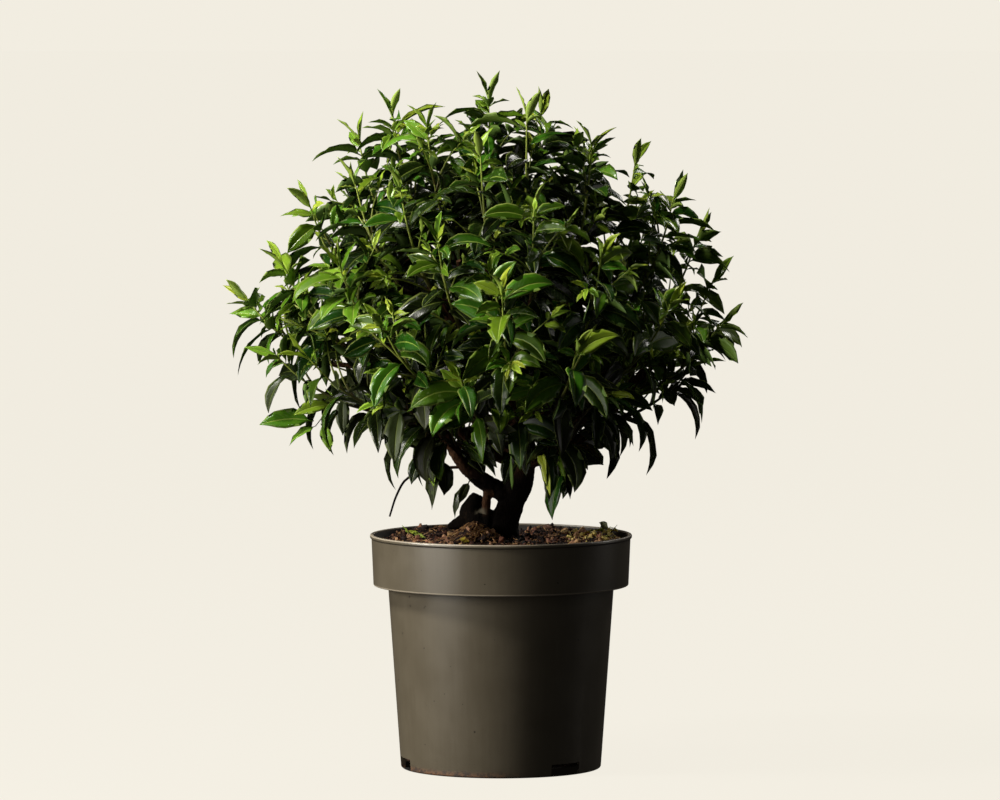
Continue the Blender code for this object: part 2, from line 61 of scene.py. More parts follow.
POT_HEIGHT = 0.223
RIM_RADIUS = 0.125
COLLAR_TOP_RADIUS = 0.1236
COLLAR_FOOT_RADIUS = 0.1217
COLLAR_FOOT_HEIGHT = 0.1745
BODY_TOP_RADIUS = 0.1078
BODY_FOOT_RADIUS = 0.0955
WALL = 0.0020
LIP_HEIGHT = 0.0032
FLOOR_UNDERSIDE = 0.006
FOOT_WIDTH = 0.004
SLOT_ANGLES = (-74, 40, 97, 163, -131)  # degrees to the right of the front
SLOT_WIDTH = 0.034
SLOT_HEIGHT = 0.0115
SLOT_DEPTH = 0.022
BASE_HOLE_ANGLES = (45, 135, 225, 315)
BASE_HOLE_RADIUS = 0.007
BASE_HOLE_RING = 0.055
POT_TURNS = 144
PLASTIC = ((0.096, 0.080, 0.054, 1), (0.114, 0.096, 0.066, 1))  # where it is darkest and where lightest
# Pale colour of the highlights painted along the lip and along the collar's lower edge
PALE_HIGHLIGHT = (0.52, 0.45, 0.35, 1)
# Dark colour of the plastic's specks, and of the painted shadow under the lip
GRIME_AND_LIP_SHADOW = (0.014, 0.010, 0.007, 1)
# Painted shade on the pot's inner wall above the compost
INNER_WALL_SHADE = (0.014, 0.009, 0.006, 1)
WET_DIRT = (0.030, 0.012, 0.006, 1)
DRY_DIRT = (0.150, 0.062, 0.022, 1)


def node(tree, kind, settings=None, inputs=None, output=0):
    """Adds a node, with its settings first and then its sockets' values or links, and gives one output."""
    made = tree.nodes.new(kind)
    for name, value in (settings or {}).items():
        if name == "stops":
            ramp = made.color_ramp
            while len(ramp.elements) < len(value):
                ramp.elements.new(0.5)
            for element, (position, colour) in zip(ramp.elements, value):
                element.position = position
                element.color = (*colour, 1)
        else:
            setattr(made, name, value)
    for key, value in (inputs or {}).items():
        if isinstance(value, Wire):
            tree.links.new(value.socket, made.inputs[key])
        else:
            made.inputs[key].default_value = value
    return Wire(made.outputs[output])


class Wire:
    """The value at a socket. Python's operators on it add Math nodes, or Vector Math nodes for a vector."""

    def __init__(self, socket):
        self.socket = socket
        self.tree = socket.id_data
        self.is_vector = socket.type == "VECTOR"

    def maths(self, operation, *others, clamp=False):
        inputs = dict(enumerate((self, *others)))
        return node(self.tree, "ShaderNodeMath", {"operation": operation, "use_clamp": clamp}, inputs)

    def vector_maths(self, operation, other=None, output=0):
        inputs = {0: self} if other is None else {0: self, 1: other}
        return node(self.tree, "ShaderNodeVectorMath", {"operation": operation}, inputs, output)

    def __add__(self, other):
        return self.vector_maths("ADD", other) if self.is_vector else self.maths("ADD", other)

    def __sub__(self, other):
        return self.vector_maths("SUBTRACT", other) if self.is_vector else self.maths("SUBTRACT", other)

    def __rsub__(self, other):
        return node(self.tree, "ShaderNodeMath", {"operation": "SUBTRACT"}, {0: other, 1: self})

    def __mul__(self, other):
        if self.is_vector:
            return node(self.tree, "ShaderNodeVectorMath", {"operation": "SCALE"}, {0: self, "Scale": other})
        return self.maths("MULTIPLY", other)

    def __truediv__(self, other):
        return self.maths("DIVIDE", other)

    def __pow__(self, other):
        return self.maths("POWER", other)

    __radd__ = __add__
    __rmul__ = __mul__

    def part(self, axis):
        return node(self.tree, "ShaderNodeSeparateXYZ", None, {0: self}, axis)

    def ramp(self, low, high, first=0.0, last=1.0):
        """Smooth change from first to last as the value goes from low to high."""
        settings = {"interpolation_type": "SMOOTHSTEP"}
        return node(self.tree, "ShaderNodeMapRange", settings, {0: self, 1: low, 2: high, 3: first, 4: last})

    def blend(self, first, last):
        """The colour first where the value is 0, and last where it is 1."""
        return node(self.tree, "ShaderNodeMix", {"data_type": "RGBA"}, {0: self, 6: first, 7: last}, 2)

    def colours(self, *stops):
        """The colour at the value, between stops of a position and its red, green and blue."""
        return node(self.tree, "ShaderNodeValToRGB", {"stops": stops}, {0: self})

    def off(self, middle):
        """How far the value is from middle."""
        return (self - middle).maths("ABSOLUTE")

    def from_axis(self):
        """How far the point is from the upright axis."""
        return self.vector_maths("MULTIPLY", (1, 1, 0)).vector_maths("LENGTH", output=1)


class Finish:
    """A material with one Principled shader, whose node tree its patterns are built in."""

    def __init__(self, name):
        self.material = bpy.data.materials.new(name)
        self.material.use_nodes = True
        self.tree = self.material.node_tree
        self.shader = self.tree.nodes["Principled BSDF"]

    def add(self, kind, settings=None, inputs=None, output=0):
        return node(self.tree, kind, settings, inputs, output)

    def place(self, scale=(1, 1, 1)):
        """The point on the piece, from the pot's axis, stretched by scale."""
        coordinates = self.add("ShaderNodeTexCoord", output=3)
        shift = tuple(-POT_AXIS[k] * scale[k] for k in range(3))
        return self.add("ShaderNodeMapping", None, {0: coordinates, 1: shift, 3: scale})

    def speckle(self, where, scale, detail=3.0, roughness=0.55):
        return self.add("ShaderNodeTexNoise", None, {0: where, 2: scale, 3: detail, 4: roughness})

    def attribute(self, name):
        return self.add("ShaderNodeAttribute", {"attribute_name": name}, None, 2)

    def wear(self, **inputs):
        """Sets or links the shader's sockets, whose names are written with an underscore for each space."""
        for name, value in inputs.items():
            socket = self.shader.inputs[name.replace("_", " ")]
            if isinstance(value, Wire):
                self.tree.links.new(value.socket, socket)
            else:
                socket.default_value = value

    def bump(self, height, distance, strength=1.0):
        self.wear(Normal=self.add("ShaderNodeBump", None, {0: strength, 1: distance, "Height": height}))


def object_from(name, mesh):
    made = bpy.data.objects.new(name, mesh)
    bpy.context.scene.collection.objects.link(made)
    return made


def apply_modifiers(made):
    """Gives the object the plain mesh that its modifiers make."""
    bpy.context.view_layer.update()
    graph = bpy.context.evaluated_depsgraph_get()
    shown = made.evaluated_get(graph)
    made.data = bpy.data.meshes.new_from_object(shown, preserve_all_data_layers=True, depsgraph=graph)
    made.modifiers.clear()


def settle(made, slot, *replaced):
    """Moves the piece's mesh to the pot's place and hands it to the frame."""
    made.data.transform(Matrix.Translation(POT_AXIS))
    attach(made, "root")
    if replaced:
        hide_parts(*replaced)


def filleted(corners):
    """A profile with each corner of (radius, height, fillet) rounded by an arc of that size."""
    points = []
    for before, (r, z, size), after in zip([corners[0]] + corners, corners, corners[1:] + [corners[-1]]):
        here = Vector((r, z))
        if size == 0:
            points.append(here)
            continue
        back = (Vector(before[:2]) - here).normalized()
        ahead = (Vector(after[:2]) - here).normalized()
        for share in (0, 0.2, 0.5, 0.8, 1):
            points.append(here + back * size * (1 - share) ** 2 + ahead * size * share ** 2)
    return points


def body_radius(height):
    """Outer radius of the pot's tapering body."""
    return BODY_FOOT_RADIUS + (BODY_TOP_RADIUS - BODY_FOOT_RADIUS) * height / COLLAR_FOOT_HEIGHT


inner_floor = FLOOR_UNDERSIDE + WALL
lip_foot = POT_HEIGHT - LIP_HEIGHT
collar_slope = (COLLAR_TOP_RADIUS - COLLAR_FOOT_RADIUS) / (POT_HEIGHT - COLLAR_FOOT_HEIGHT)
pot_profile = filleted([
    (0, inner_floor, 0),
    (body_radius(inner_floor) - WALL, inner_floor, 0.004),
    (BODY_TOP_RADIUS - WALL, COLLAR_FOOT_HEIGHT + WALL, 0.0012),
    (COLLAR_FOOT_RADIUS - WALL, COLLAR_FOOT_HEIGHT + WALL, 0.0012),
    (COLLAR_TOP_RADIUS - WALL, POT_HEIGHT, 0.0008),
    (RIM_RADIUS, POT_HEIGHT, 0.0013),
    (RIM_RADIUS, lip_foot, 0.0009),
    (COLLAR_TOP_RADIUS, lip_foot - 0.0004, 0.0004),
    (COLLAR_FOOT_RADIUS, COLLAR_FOOT_HEIGHT, 0.0012),
    (BODY_TOP_RADIUS, COLLAR_FOOT_HEIGHT, 0.0010),
    (BODY_FOOT_RADIUS, 0, 0.0020),
    (BODY_FOOT_RADIUS - FOOT_WIDTH, 0, 0.0008),
    (BODY_FOOT_RADIUS - FOOT_WIDTH, FLOOR_UNDERSIDE, 0.0010),
    (0, FLOOR_UNDERSIDE, 0),
])
pot_mesh = bpy.data.meshes.new("nursery_pot")
pot_edges = [(k, k + 1) for k in range(len(pot_profile) - 1)]
pot_mesh.from_pydata([(r, 0, z) for r, z in pot_profile], pot_edges, [])
pot = object_from("nursery_pot", pot_mesh)
screw = pot.modifiers.new("turn", "SCREW")
screw.steps = screw.render_steps = POT_TURNS
screw.use_merge_vertices = True
screw.merge_threshold = 0.00001
pot_cutters = []


def cut_from_pot(name, location, bearing=0.0):
    """Cuts the active object from the pot, turned by bearing about its own axis."""
    cutter = bpy.context.object
    cutter.name = name
    cutter.location = location
    cutter.rotation_euler.z = bearing
    difference = pot.modifiers.new(name, "BOOLEAN")
    difference.operation = "DIFFERENCE"
    difference.object = cutter
    pot_cutters.append(cutter)


for index, angle in enumerate(SLOT_ANGLES):
    bearing = math.radians(angle)
    bpy.ops.mesh.primitive_cube_add(size=1, scale=(SLOT_WIDTH, SLOT_DEPTH, SLOT_HEIGHT * 2))
    bpy.ops.object.transform_apply(location=False, rotation=False, scale=True)
    at_foot = (math.sin(bearing) * BODY_FOOT_RADIUS, -math.cos(bearing) * BODY_FOOT_RADIUS, 0)
    cut_from_pot(f"drain_notch_{index}", at_foot, bearing)
for index, angle in enumerate(BASE_HOLE_ANGLES):
    bearing = math.radians(angle)
    bpy.ops.mesh.primitive_cylinder_add(vertices=32, radius=BASE_HOLE_RADIUS, depth=WALL * 6)
    in_floor = (math.cos(bearing) * BASE_HOLE_RING, math.sin(bearing) * BASE_HOLE_RING, inner_floor)
    cut_from_pot(f"base_hole_{index}", in_floor)
apply_modifiers(pot)
for cutter in pot_cutters:
    bpy.data.objects.remove(cutter)
pot.data.shade_smooth()
pot.data.set_sharp_from_angle(angle=math.radians(32))

plastic = Finish("pot_plastic")
pot_place = plastic.place()
pot_x, pot_z = pot_place.part(0), pot_place.part(2)
streaks = plastic.speckle(plastic.place((260, 260, 5)), 1.0, 4.0)
clouds = plastic.speckle(pot_place, 26.0, 3.0)
dust = plastic.speckle(pot_place, 900.0, 2.0)
specks = plastic.speckle(pot_place, 260.0, 0.0).ramp(0.845, 0.865)
splashes = plastic.speckle(pot_place, 190.0, 4.0, 0.7)
foot_dirt = (pot_z + splashes * 0.012).ramp(0.0135, 0.0085) * pot_x.ramp(0.045, -0.040)
dirt = splashes.ramp(0.44, 0.56).blend(WET_DIRT, DRY_DIRT)
pot_tone = (streaks * 0.35 + clouds * 0.65).ramp(0.30, 0.72)
# Painted shadow: a dark line just under the lip
painted_lip_shadow = pot_z.off(lip_foot - 0.0002).ramp(0.0009, 0.0004) * 0.7
# Painted highlights: a pale line along the top of the lip and a fainter one along the collar's lower edge
painted_lip_highlight = pot_z.ramp(POT_HEIGHT - 0.0012, POT_HEIGHT - 0.0005)
painted_collar_foot_highlight = pot_z.off(COLLAR_FOOT_HEIGHT + 0.0006).ramp(0.0012, 0.0006)
painted_edge_highlights = painted_lip_highlight.maths("MAXIMUM", painted_collar_foot_highlight * 0.6)
# Painted shade: the inner wall of the collar above the compost is painted dark, and is rougher there too
inside = (pot_place.from_axis() - (pot_z - COLLAR_FOOT_HEIGHT) * collar_slope).ramp(
    COLLAR_FOOT_RADIUS - WALL * 0.4, COLLAR_FOOT_RADIUS - WALL * 0.6)
inside = inside * pot_z.ramp(POT_HEIGHT - 0.0006, POT_HEIGHT - 0.0020)
inside = inside * pot_z.ramp(COLLAR_FOOT_HEIGHT + 0.0010, COLLAR_FOOT_HEIGHT + 0.0018)
grey = pot_tone.blend(*PLASTIC)
# Dark specks of the plastic, and the painted shadow under the lip
grey = painted_lip_shadow.maths("MAXIMUM", specks * 0.8).blend(grey, GRIME_AND_LIP_SHADOW)
# The pale painted highlights on the lip and on the collar's lower edge
grey = (painted_edge_highlights * 0.75).blend(grey, PALE_HIGHLIGHT)
# The painted shade on the inner wall
grey = (inside * 0.85).blend(grey, INNER_WALL_SHADE)
plastic.wear(
    Base_Color=(foot_dirt * 0.85).blend(grey, dirt),
    Roughness=pot_tone.ramp(0.0, 1.0, 0.32, 0.37) + foot_dirt * 0.3 + inside * 0.4,
    Specular_IOR_Level=0.78,
)
plastic.bump(dust * 0.5 + streaks * 0.3, 0.00010, 0.5)
pot.data.materials.clear()
pot.data.materials.append(plastic.material)
settle(pot, "pot_plastic", "pot")


# The compost
# Peat-free mix of bark, coir and peat, filled to a finger below the rim and crumbled by watering.
# It is heaped against the stems at the front left, with loose heaps of crumbs on its firm bed.

SOIL_LEVEL = 0.2115
HEAP = (-0.031, -0.024, 0.014, 0.013)  # right, away, spread and height
BANK = (0.075, 0.020, 0.045, 0.006)
LUMPS = ((60, 0.0022), (140, 0.0012))  # noise scale and height
CRUMBLE = ((240, 0.0030), (620, 0.0018))  # finer lumps of the loose top
LOOSE_TOP = 0.0038
LOOSE_HEAPS = (
    (-0.019, -0.014, 0.0125, 0.008), (0.046, 0.088, 0.014, 0.0065), (-0.020, 0.020, 0.016, 0.006),
    (-0.070, 0.080, 0.030, 0.0060), (0.016, 0.060, 0.024, -0.0035), (0.085, 0.060, 0.020, -0.002),
)
SOIL_GAP = 0.0006  # to the pot's wall
SOIL_RINGS = 110
SOIL_SECTORS = 240


def hill(x, y, right, away, spread, height):
    return height * math.exp(-((x - right) ** 2 + (y - away) ** 2) / (2 * spread ** 2))


def ripples(x, y, z, rows):
    """Height of the lumps there, from rows of noise scale and height."""
    return sum(noise.noise(Vector((x, y, z)) * scale) * height for scale, height in rows)


def clamped(value):
    return min(1.0, max(0.0, value))


def soil_height(x, y):
    """Height of the firm bed, which levels out where it meets the pot."""
    relief = hill(x, y, *HEAP) + hill(x, y, *BANK) + ripples(x, y, 0, LUMPS)
    return SOIL_LEVEL + relief * clamped((COLLAR_FOOT_RADIUS - WALL - math.hypot(x, y)) / 0.012)


def loose_depth(x, y):
    """Depth of the loose crumbs that lie on the firm bed."""
    return LOOSE_TOP + sum(hill(x, y, *heap) for heap in LOOSE_HEAPS)


soil_radius = COLLAR_FOOT_RADIUS + (SOIL_LEVEL - COLLAR_FOOT_HEIGHT) * collar_slope - WALL - SOIL_GAP
soil_sides = [
    (COLLAR_FOOT_RADIUS - WALL - SOIL_GAP, COLLAR_FOOT_HEIGHT + WALL + SOIL_GAP),
    (BODY_TOP_RADIUS - WALL - SOIL_GAP, COLLAR_FOOT_HEIGHT + WALL + SOIL_GAP),
    (body_radius(inner_floor) - WALL - SOIL_GAP - 0.002, inner_floor + SOIL_GAP),
]
soil_corners = [Vector((0, 0, soil_height(0, 0)))]
for ring in range(1, SOIL_RINGS + 1):
    radius = soil_radius * ring / SOIL_RINGS
    edge = min(1.0, (SOIL_RINGS - ring) / 4)
    for sector in range(SOIL_SECTORS):
        angle = 2 * math.pi * sector / SOIL_SECTORS
        x, y = radius * math.cos(angle), radius * math.sin(angle)
        rise = (ripples(x, y, 0.3, CRUMBLE) + loose_depth(x, y)) * edge
        soil_corners.append(Vector((x, y, soil_height(x, y) + rise)))
for radius, height in soil_sides:
    for sector in range(SOIL_SECTORS):
        angle = 2 * math.pi * sector / SOIL_SECTORS
        soil_corners.append(Vector((radius * math.cos(angle), radius * math.sin(angle), height)))
soil_corners.append(Vector((0, 0, inner_floor + SOIL_GAP)))
soil_faces = []
for sector in range(SOIL_SECTORS):
    after = (sector + 1) % SOIL_SECTORS
    soil_faces.append((0, 1 + sector, 1 + after))
    for ring in range(SOIL_RINGS + len(soil_sides) - 1):
        low = 1 + ring * SOIL_SECTORS
        high = low + SOIL_SECTORS
        soil_faces.append((low + sector, high + sector, high + after, low + after))
    last = 1 + (SOIL_RINGS + len(soil_sides) - 1) * SOIL_SECTORS
    soil_faces.append((last + sector, len(soil_corners) - 1, last + after))
soil_mesh = bpy.data.meshes.new("compost")
soil_mesh.from_pydata(soil_corners, [], soil_faces)
soil_mesh.shade_smooth()
soil_mesh.set_sharp_from_angle(angle=math.radians(50))
compost = object_from("compost", soil_mesh)

earth = Finish("compost")
grains = earth.speckle(earth.place(), 520.0, 5.0, 0.7)
patches = earth.speckle(earth.place(), 70.0, 4.0)
brown = (grains * 0.75 + patches * 0.25).colours(
    (0.34, (0.004, 0.002, 0.0016)),
    (0.48, (0.022, 0.009, 0.006)),
    (0.60, (0.110, 0.045, 0.026)),
    (0.74, (0.300, 0.160, 0.075)),
)
earth.wear(Base_Color=brown, Roughness=0.95)
earth.bump(grains, 0.0012)
compost.data.materials.append(earth.material)


# Crumbs on the compost
# Loose bits of bark and coir of many sizes, which lie where the last watering left them. Towards the
# right they are painted paler as painted light, just right of the trunk darker as its painted shadow,
# and next to the pot's wall they are small.

CRUMB_SEED = 5
CRUMB_SPACING = 0.0034
CRUMB_SIZE = (0.0008, 0.0058)  # radius of the smallest and of the largest


def inputs_of(tree, sockets):
    """Gives the tree these named inputs and one Geometry output, and returns the input wires by name."""
    for name, kind in sockets.items():
        tree.interface.new_socket(name, in_out="INPUT", socket_type="NodeSocket" + kind)
    tree.interface.new_socket("Geometry", in_out="OUTPUT", socket_type="NodeSocketGeometry")
    source = tree.nodes.new("NodeGroupInput")
    return {name: Wire(source.outputs[name]) for name in sockets}


def send_out(tree, wire):
    tree.links.new(wire.socket, tree.nodes.new("NodeGroupOutput").inputs[0])


def apply_tree(made, tree, inputs):
    """Runs the geometry tree on the object with these named inputs, and keeps the plain mesh."""
    modifier = made.modifiers.new(tree.name, "NODES")
    modifier.node_group = tree
    for item in tree.interface.items_tree:
        if item.name in inputs:
            modifier[item.identifier] = inputs[item.name]
    apply_modifiers(made)


crumb_tree = bpy.data.node_groups.new("Strew crumbs", "GeometryNodeTree")
crumb_input = inputs_of(crumb_tree, {
    "Ground": "Geometry", "Crumb": "Object", "Spacing": "Float", "Smallest": "Float", "Largest": "Float",
    "Seed": "Int", "Finish": "Material",
})
flatness = node(crumb_tree, "GeometryNodeInputNormal").part(2)
ground = node(crumb_tree, "GeometryNodeInputPosition")
on_top = flatness.maths("GREATER_THAN", 0.2) * ground.part(2).maths("GREATER_THAN", SOIL_LEVEL - 0.006)
strewn = node(crumb_tree, "GeometryNodeDistributePointsOnFaces", {"distribute_method": "POISSON"}, {
    "Mesh": crumb_input["Ground"], "Selection": on_top, "Distance Min": crumb_input["Spacing"],
    "Density Max": 260000.0, "Seed": crumb_input["Seed"],
})
crumb_turn = node(crumb_tree, "FunctionNodeRandomValue", {"data_type": "FLOAT_VECTOR"}, {
    0: (0, 0, 0), 1: (6.28, 6.28, 6.28), "Seed": crumb_input["Seed"],
})
chance = node(crumb_tree, "FunctionNodeRandomValue", None, {"Seed": crumb_input["Seed"]}, 1)
room = node(crumb_tree, "ShaderNodeMapRange", None, {
    0: ground.from_axis(), 1: 0.1190, 2: 0.1090, 3: 0.12, 4: 1.0,
})
over_smallest = chance ** 2.6 * room * (crumb_input["Largest"] - crumb_input["Smallest"])
stretch = node(crumb_tree, "FunctionNodeRandomValue", {"data_type": "FLOAT_VECTOR"}, {
    0: (0.6, 0.5, 0.35), 1: (1.6, 0.9, 0.8), "Seed": 77,
})
crumbs = node(crumb_tree, "GeometryNodeInstanceOnPoints", None, {
    "Points": strewn,
    "Instance": node(crumb_tree, "GeometryNodeObjectInfo", None, {0: crumb_input["Crumb"]}, 4),
    "Rotation": crumb_turn,
    "Scale": stretch * (crumb_input["Smallest"] + over_smallest),
})
crumbs = node(crumb_tree, "GeometryNodeStoreNamedAttribute", {"data_type": "FLOAT", "domain": "INSTANCE"}, {
    "Geometry": crumbs, "Name": "tone",
    "Value": node(crumb_tree, "FunctionNodeRandomValue", None, {"Seed": 3}, 1),
})
crumbs = node(crumb_tree, "GeometryNodeRealizeInstances", None, {0: crumbs})
crumbs = node(crumb_tree, "GeometryNodeSetMaterial", None, {0: crumbs, "Material": crumb_input["Finish"]})
send_out(crumb_tree, crumbs)

chips = Finish("compost_crumbs")
chip_grain = chips.speckle(chips.place(), 900.0, 3.0)
right_of_axis = chips.place().part(0)
# Painted light: the crumbs towards the right are painted paler
painted_light_right = right_of_axis.ramp(0.040, 0.078) * 0.42
# Painted shadow of the trunk: the crumbs just right of it are painted darker
shaded = right_of_axis.off(0.028).ramp(0.032, 0.010) * 0.12
chips.wear(
    Base_Color=(chips.attribute("tone") * 0.85 + chip_grain * 0.15 + painted_light_right - shaded).colours(
        (0.0, (0.004, 0.002, 0.002)),
        (0.42, (0.022, 0.007, 0.004)),
        (0.62, (0.220, 0.080, 0.044)),
        (0.82, (0.480, 0.260, 0.140)),
        (0.93, (0.600, 0.380, 0.160)),
        (1.0, (0.750, 0.600, 0.180)),
    ),
    Roughness=0.9,
)
bpy.ops.mesh.primitive_ico_sphere_add(subdivisions=1, radius=1)
crumb = bpy.context.object
for vert in crumb.data.vertices:
    vert.co *= 0.8 + 0.5 * noise.noise(vert.co * 1.7)
crumbs_on_top = object_from("compost_crumbs", compost.data.copy())
apply_tree(crumbs_on_top, crumb_tree, {
    "Crumb": crumb, "Spacing": CRUMB_SPACING, "Smallest": CRUMB_SIZE[0], "Largest": CRUMB_SIZE[1],
    "Seed": CRUMB_SEED, "Finish": chips.material,
})
bpy.data.objects.remove(crumb)
settle(compost, "compost", "soil")
settle(crumbs_on_top, "compost")


# How the plant has grown
# The rule, the numbers and the seeds are those of the CAD model, so each branch, shoot and leaf
# of it comes out in its own place. Side shoots and more leaves then grow in what room is left.

GAP = 0.0003  # between neighbouring solids that touch
CROWN_CENTRE = Vector((-0.010, 0.0, 0.456))
CROWN_RADIUS = 0.184
CROWN_BULGE = 0.026  # more than that at the widest, just below the middle
CROWN_WAIST = 0.036  # less than that on the underside, where the leaves hang past their shoots
FORK = Vector((0.020, 0.004, 0.288))
SHOOT_LENGTH = 0.100
SHOOT_RADIUS = 0.0020
SHOOT_STEPS = 3
RULE_SHOOTS = 60  # directions tried all round, before those near a named shoot drop out
LOWEST_SHOOT = -0.76  # sine of the slope below which no rule shoot points
SHOOT_SPACING = 0.066
GOLDEN_ANGLE = math.pi * (3 - math.sqrt(5))
SEED = 11
LEAF_LENGTH = 0.064
LEAF_SLENDERNESS = 0.37  # width over length
LEAF_THICKNESS = 0.0010
LEAF_SECTIONS = ((0.37, 1.0), (0.71, 0.74))  # share of the length, share of the greatest width
YOUNG_SECTIONS = ((0.48, 1.0),)
LEAF_PLACES = (0.20, 0.36, 0.50, 0.63, 0.75, 0.87)  # shares of the stem
YOUNG_PAIR = ((0.95, 2.4, 0.56), (0.99, 5.4, 0.48))  # share of the stem, turn round it, share of length
ROOT_SINK = 0.0004  # past the stem's axis
LOWEST_LEAF = 0.250
TRIES = 14  # for each leaf to find room
# Tips of the shoots that make the outline
OUTLINE_SHOOTS = {
    "crown_top": (-0.012, -0.010, 0.638),
    "top_right": (0.038, 0.022, 0.624),
    "top_left": (-0.103, 0.012, 0.622),
    "top_left_front": (-0.070, -0.050, 0.612),
    "shoulder_left": (-0.136, 0.030, 0.598),
    "shoulder_left_front": (-0.138, -0.062, 0.562),
    "upper_left": (-0.182, -0.010, 0.538),
    "left": (-0.206, -0.045, 0.482),
    "far_left": (-0.242, 0.012, 0.446),
    "lower_left": (-0.214, -0.030, 0.396),
    "skirt_left": (-0.160, -0.010, 0.350),
    "skirt_left_front": (-0.058, -0.060, 0.318),
    "skirt_right_front": (0.052, -0.055, 0.316),
    "skirt_right": (0.122, -0.010, 0.356),
    "lower_right": (0.184, 0.012, 0.384),
    "far_right": (0.210, -0.012, 0.426),
    "right": (0.204, 0.034, 0.466),
    "right_back": (0.188, 0.020, 0.508),
    "upper_right": (0.164, -0.024, 0.546),
    "shoulder_right": (0.128, 0.020, 0.576),
    "top_right_front": (0.086, -0.040, 0.594),
}
# Centre lines of the wood, right, away, up and radius in millimetres
TRUNK = (
    (4, 2, 127, 7), (4, 2, 175, 12), (3, 1, 212, 16.5), (3, 1, 231, 14),
    (10, 2, 253, 12.5), (15, 3, 268, 14.5), (20, 4, 288, 13), (24, 6, 312, 9.5),
)
LEFT_LIMB = (
    (10, 1, 258, 9.5), (-14, -3, 272, 8.5), (-32, -8, 286, 6.8), (-44, -12, 303, 5.9),
    (-54, -16, 320, 5.2), (-67, -20, 335, 4.6), (-84, -24, 360, 4), (-104, -24, 402, 3),
)
BASE_STEM = ((-7, -3, 203, 5.5), (-12, -4, 226, 4.8), (-14, -4, 245, 4), (-13, -3, 266, 4.4))
BURL = ((-2, 5, 218, 11), (-16, 6, 234, 14), (-27, 7, 242, 13.5), (-25, 7, 253, 8.5), (-22, 7, 260, 5))
BURL_FOOT = ((-18, 7, 236, 9), (-36, 8, 233, 8), (-50, 10, 229, 3))
BARE_TWIG = (
    (-34, -9, 288, 1.6), (-62, -12, 286, 1.3), (-88, -14, 278, 1.2),
    (-99, -15, 262, 1.1), (-106, -16, 241, 0.9),
)
LEADER = ((23, 6, 305, 9), (16, 6, 345, 7), (4, 4, 395, 5.5), (-4, 1, 450, 4.2), (-8, -2, 512, 2.8))
# Bearings of the limbs, how far out and up they reach, and their radius
LOW_WHORL = ((-95, -48, -6, 38, 84, 128, 166, -148), 0.118, 0.095, 0.0066)
HIGH_WHORL = ((-120, -65, 5, 62, 118, 178), 0.088, 0.092, 0.0046)


def millimetres(route):
    """Points and radii in metres from rows of right, away, up and radius in millimetres."""
    points = [Vector(row[:3]) * 0.001 for row in route]
    radii = [row[3] * 0.001 for row in route]
    return points, radii


def bend(start, through, end, steps):
    """Points of the quadratic curve from start to end, pulled towards through."""
    shares = [i / steps for i in range(steps + 1)]
    return [start * (1 - t) ** 2 + through * 2 * t * (1 - t) + end * t * t for t in shares]


def taper(first, last, count):
    return [first + (last - first) * i / (count - 1) for i in range(count)]


def whorl(origin, bearings, reach, rise, radius):
    """Limbs that leave origin at these bearings and curve upwards."""
    limbs = []
    for bearing in bearings:
        out = Vector((math.cos(math.radians(bearing)), math.sin(math.radians(bearing)), 0))
        end = origin + out * reach + Vector((0, 0, rise))
        knee = origin + out * reach * 0.62 + Vector((0, 0, rise * 0.22))
        limbs.append((bend(origin, knee, end, 3), taper(radius, radius * 0.5, 4)))
    return limbs


class Leaf:
    """One blade: an arc that starts along aim and turns towards the ground, folded along its midrib."""

    rolled = 0.0  # how far an old leaf has curled up along its midrib, from 0 to 1

    def __init__(self, base, aim, face, length, droop, fold, slenderness, sections):
        self.base = base
        self.aim = aim.normalized()
        self.face = face.normalized()
        self.length = length
        self.droop = droop
        self.fold = fold
        self.half_width = length * slenderness / 2
        self.sections = sections
        down = Vector((0, 0, -1))
        across = down - self.aim * down.dot(self.aim)
        self.turn = across.normalized() if across.length > 0.05 else self.face.cross(self.aim).normalized()

    def frame(self, share):
        """Place, sideways and upper-side directions at a share of the length."""
        angle = self.droop * share
        radius = self.length / self.droop
        place = self.base + (self.aim * math.sin(angle) + self.turn * (1 - math.cos(angle))) * radius
        heading = self.aim * math.cos(angle) + self.turn * math.sin(angle)
        side = heading.cross(self.face).normalized()
        return place, side, side.cross(heading)

    def solid(self, grow=0.0):
        """Corners and triangles of the plain blade, which other leaves keep clear of."""
        corners = [self.base - self.aim * ROOT_SINK]
        for share, width in self.sections:
            place, side, upper = self.frame(share)
            half = self.half_width * width + grow
            lift = upper * half * math.tan(self.fold)
            thick = upper * (LEAF_THICKNESS / 2 + grow)
            corners += [place - side * half + lift, place + thick, place + side * half + lift, place - thick]
        corners.append(self.frame(1.0)[0])
        tip = len(corners) - 1
        faces = []
        for k in range(4):
            after = (k + 1) % 4
            faces.append((0, 1 + after, 1 + k))
            faces.append((tip, tip - 4 + k, tip - 4 + after))
        for ring in range(len(self.sections) - 1):
            low, high = 1 + 4 * ring, 5 + 4 * ring
            for edge in (0, 2):
                for rib in (1, 3):
                    split = [(low + edge, low + rib, high + rib), (low + edge, high + rib, high + edge)]
                    leads = (rib - edge) % 4 == 1
                    faces += split if leads else [face[::-1] for face in split]
        return corners, faces


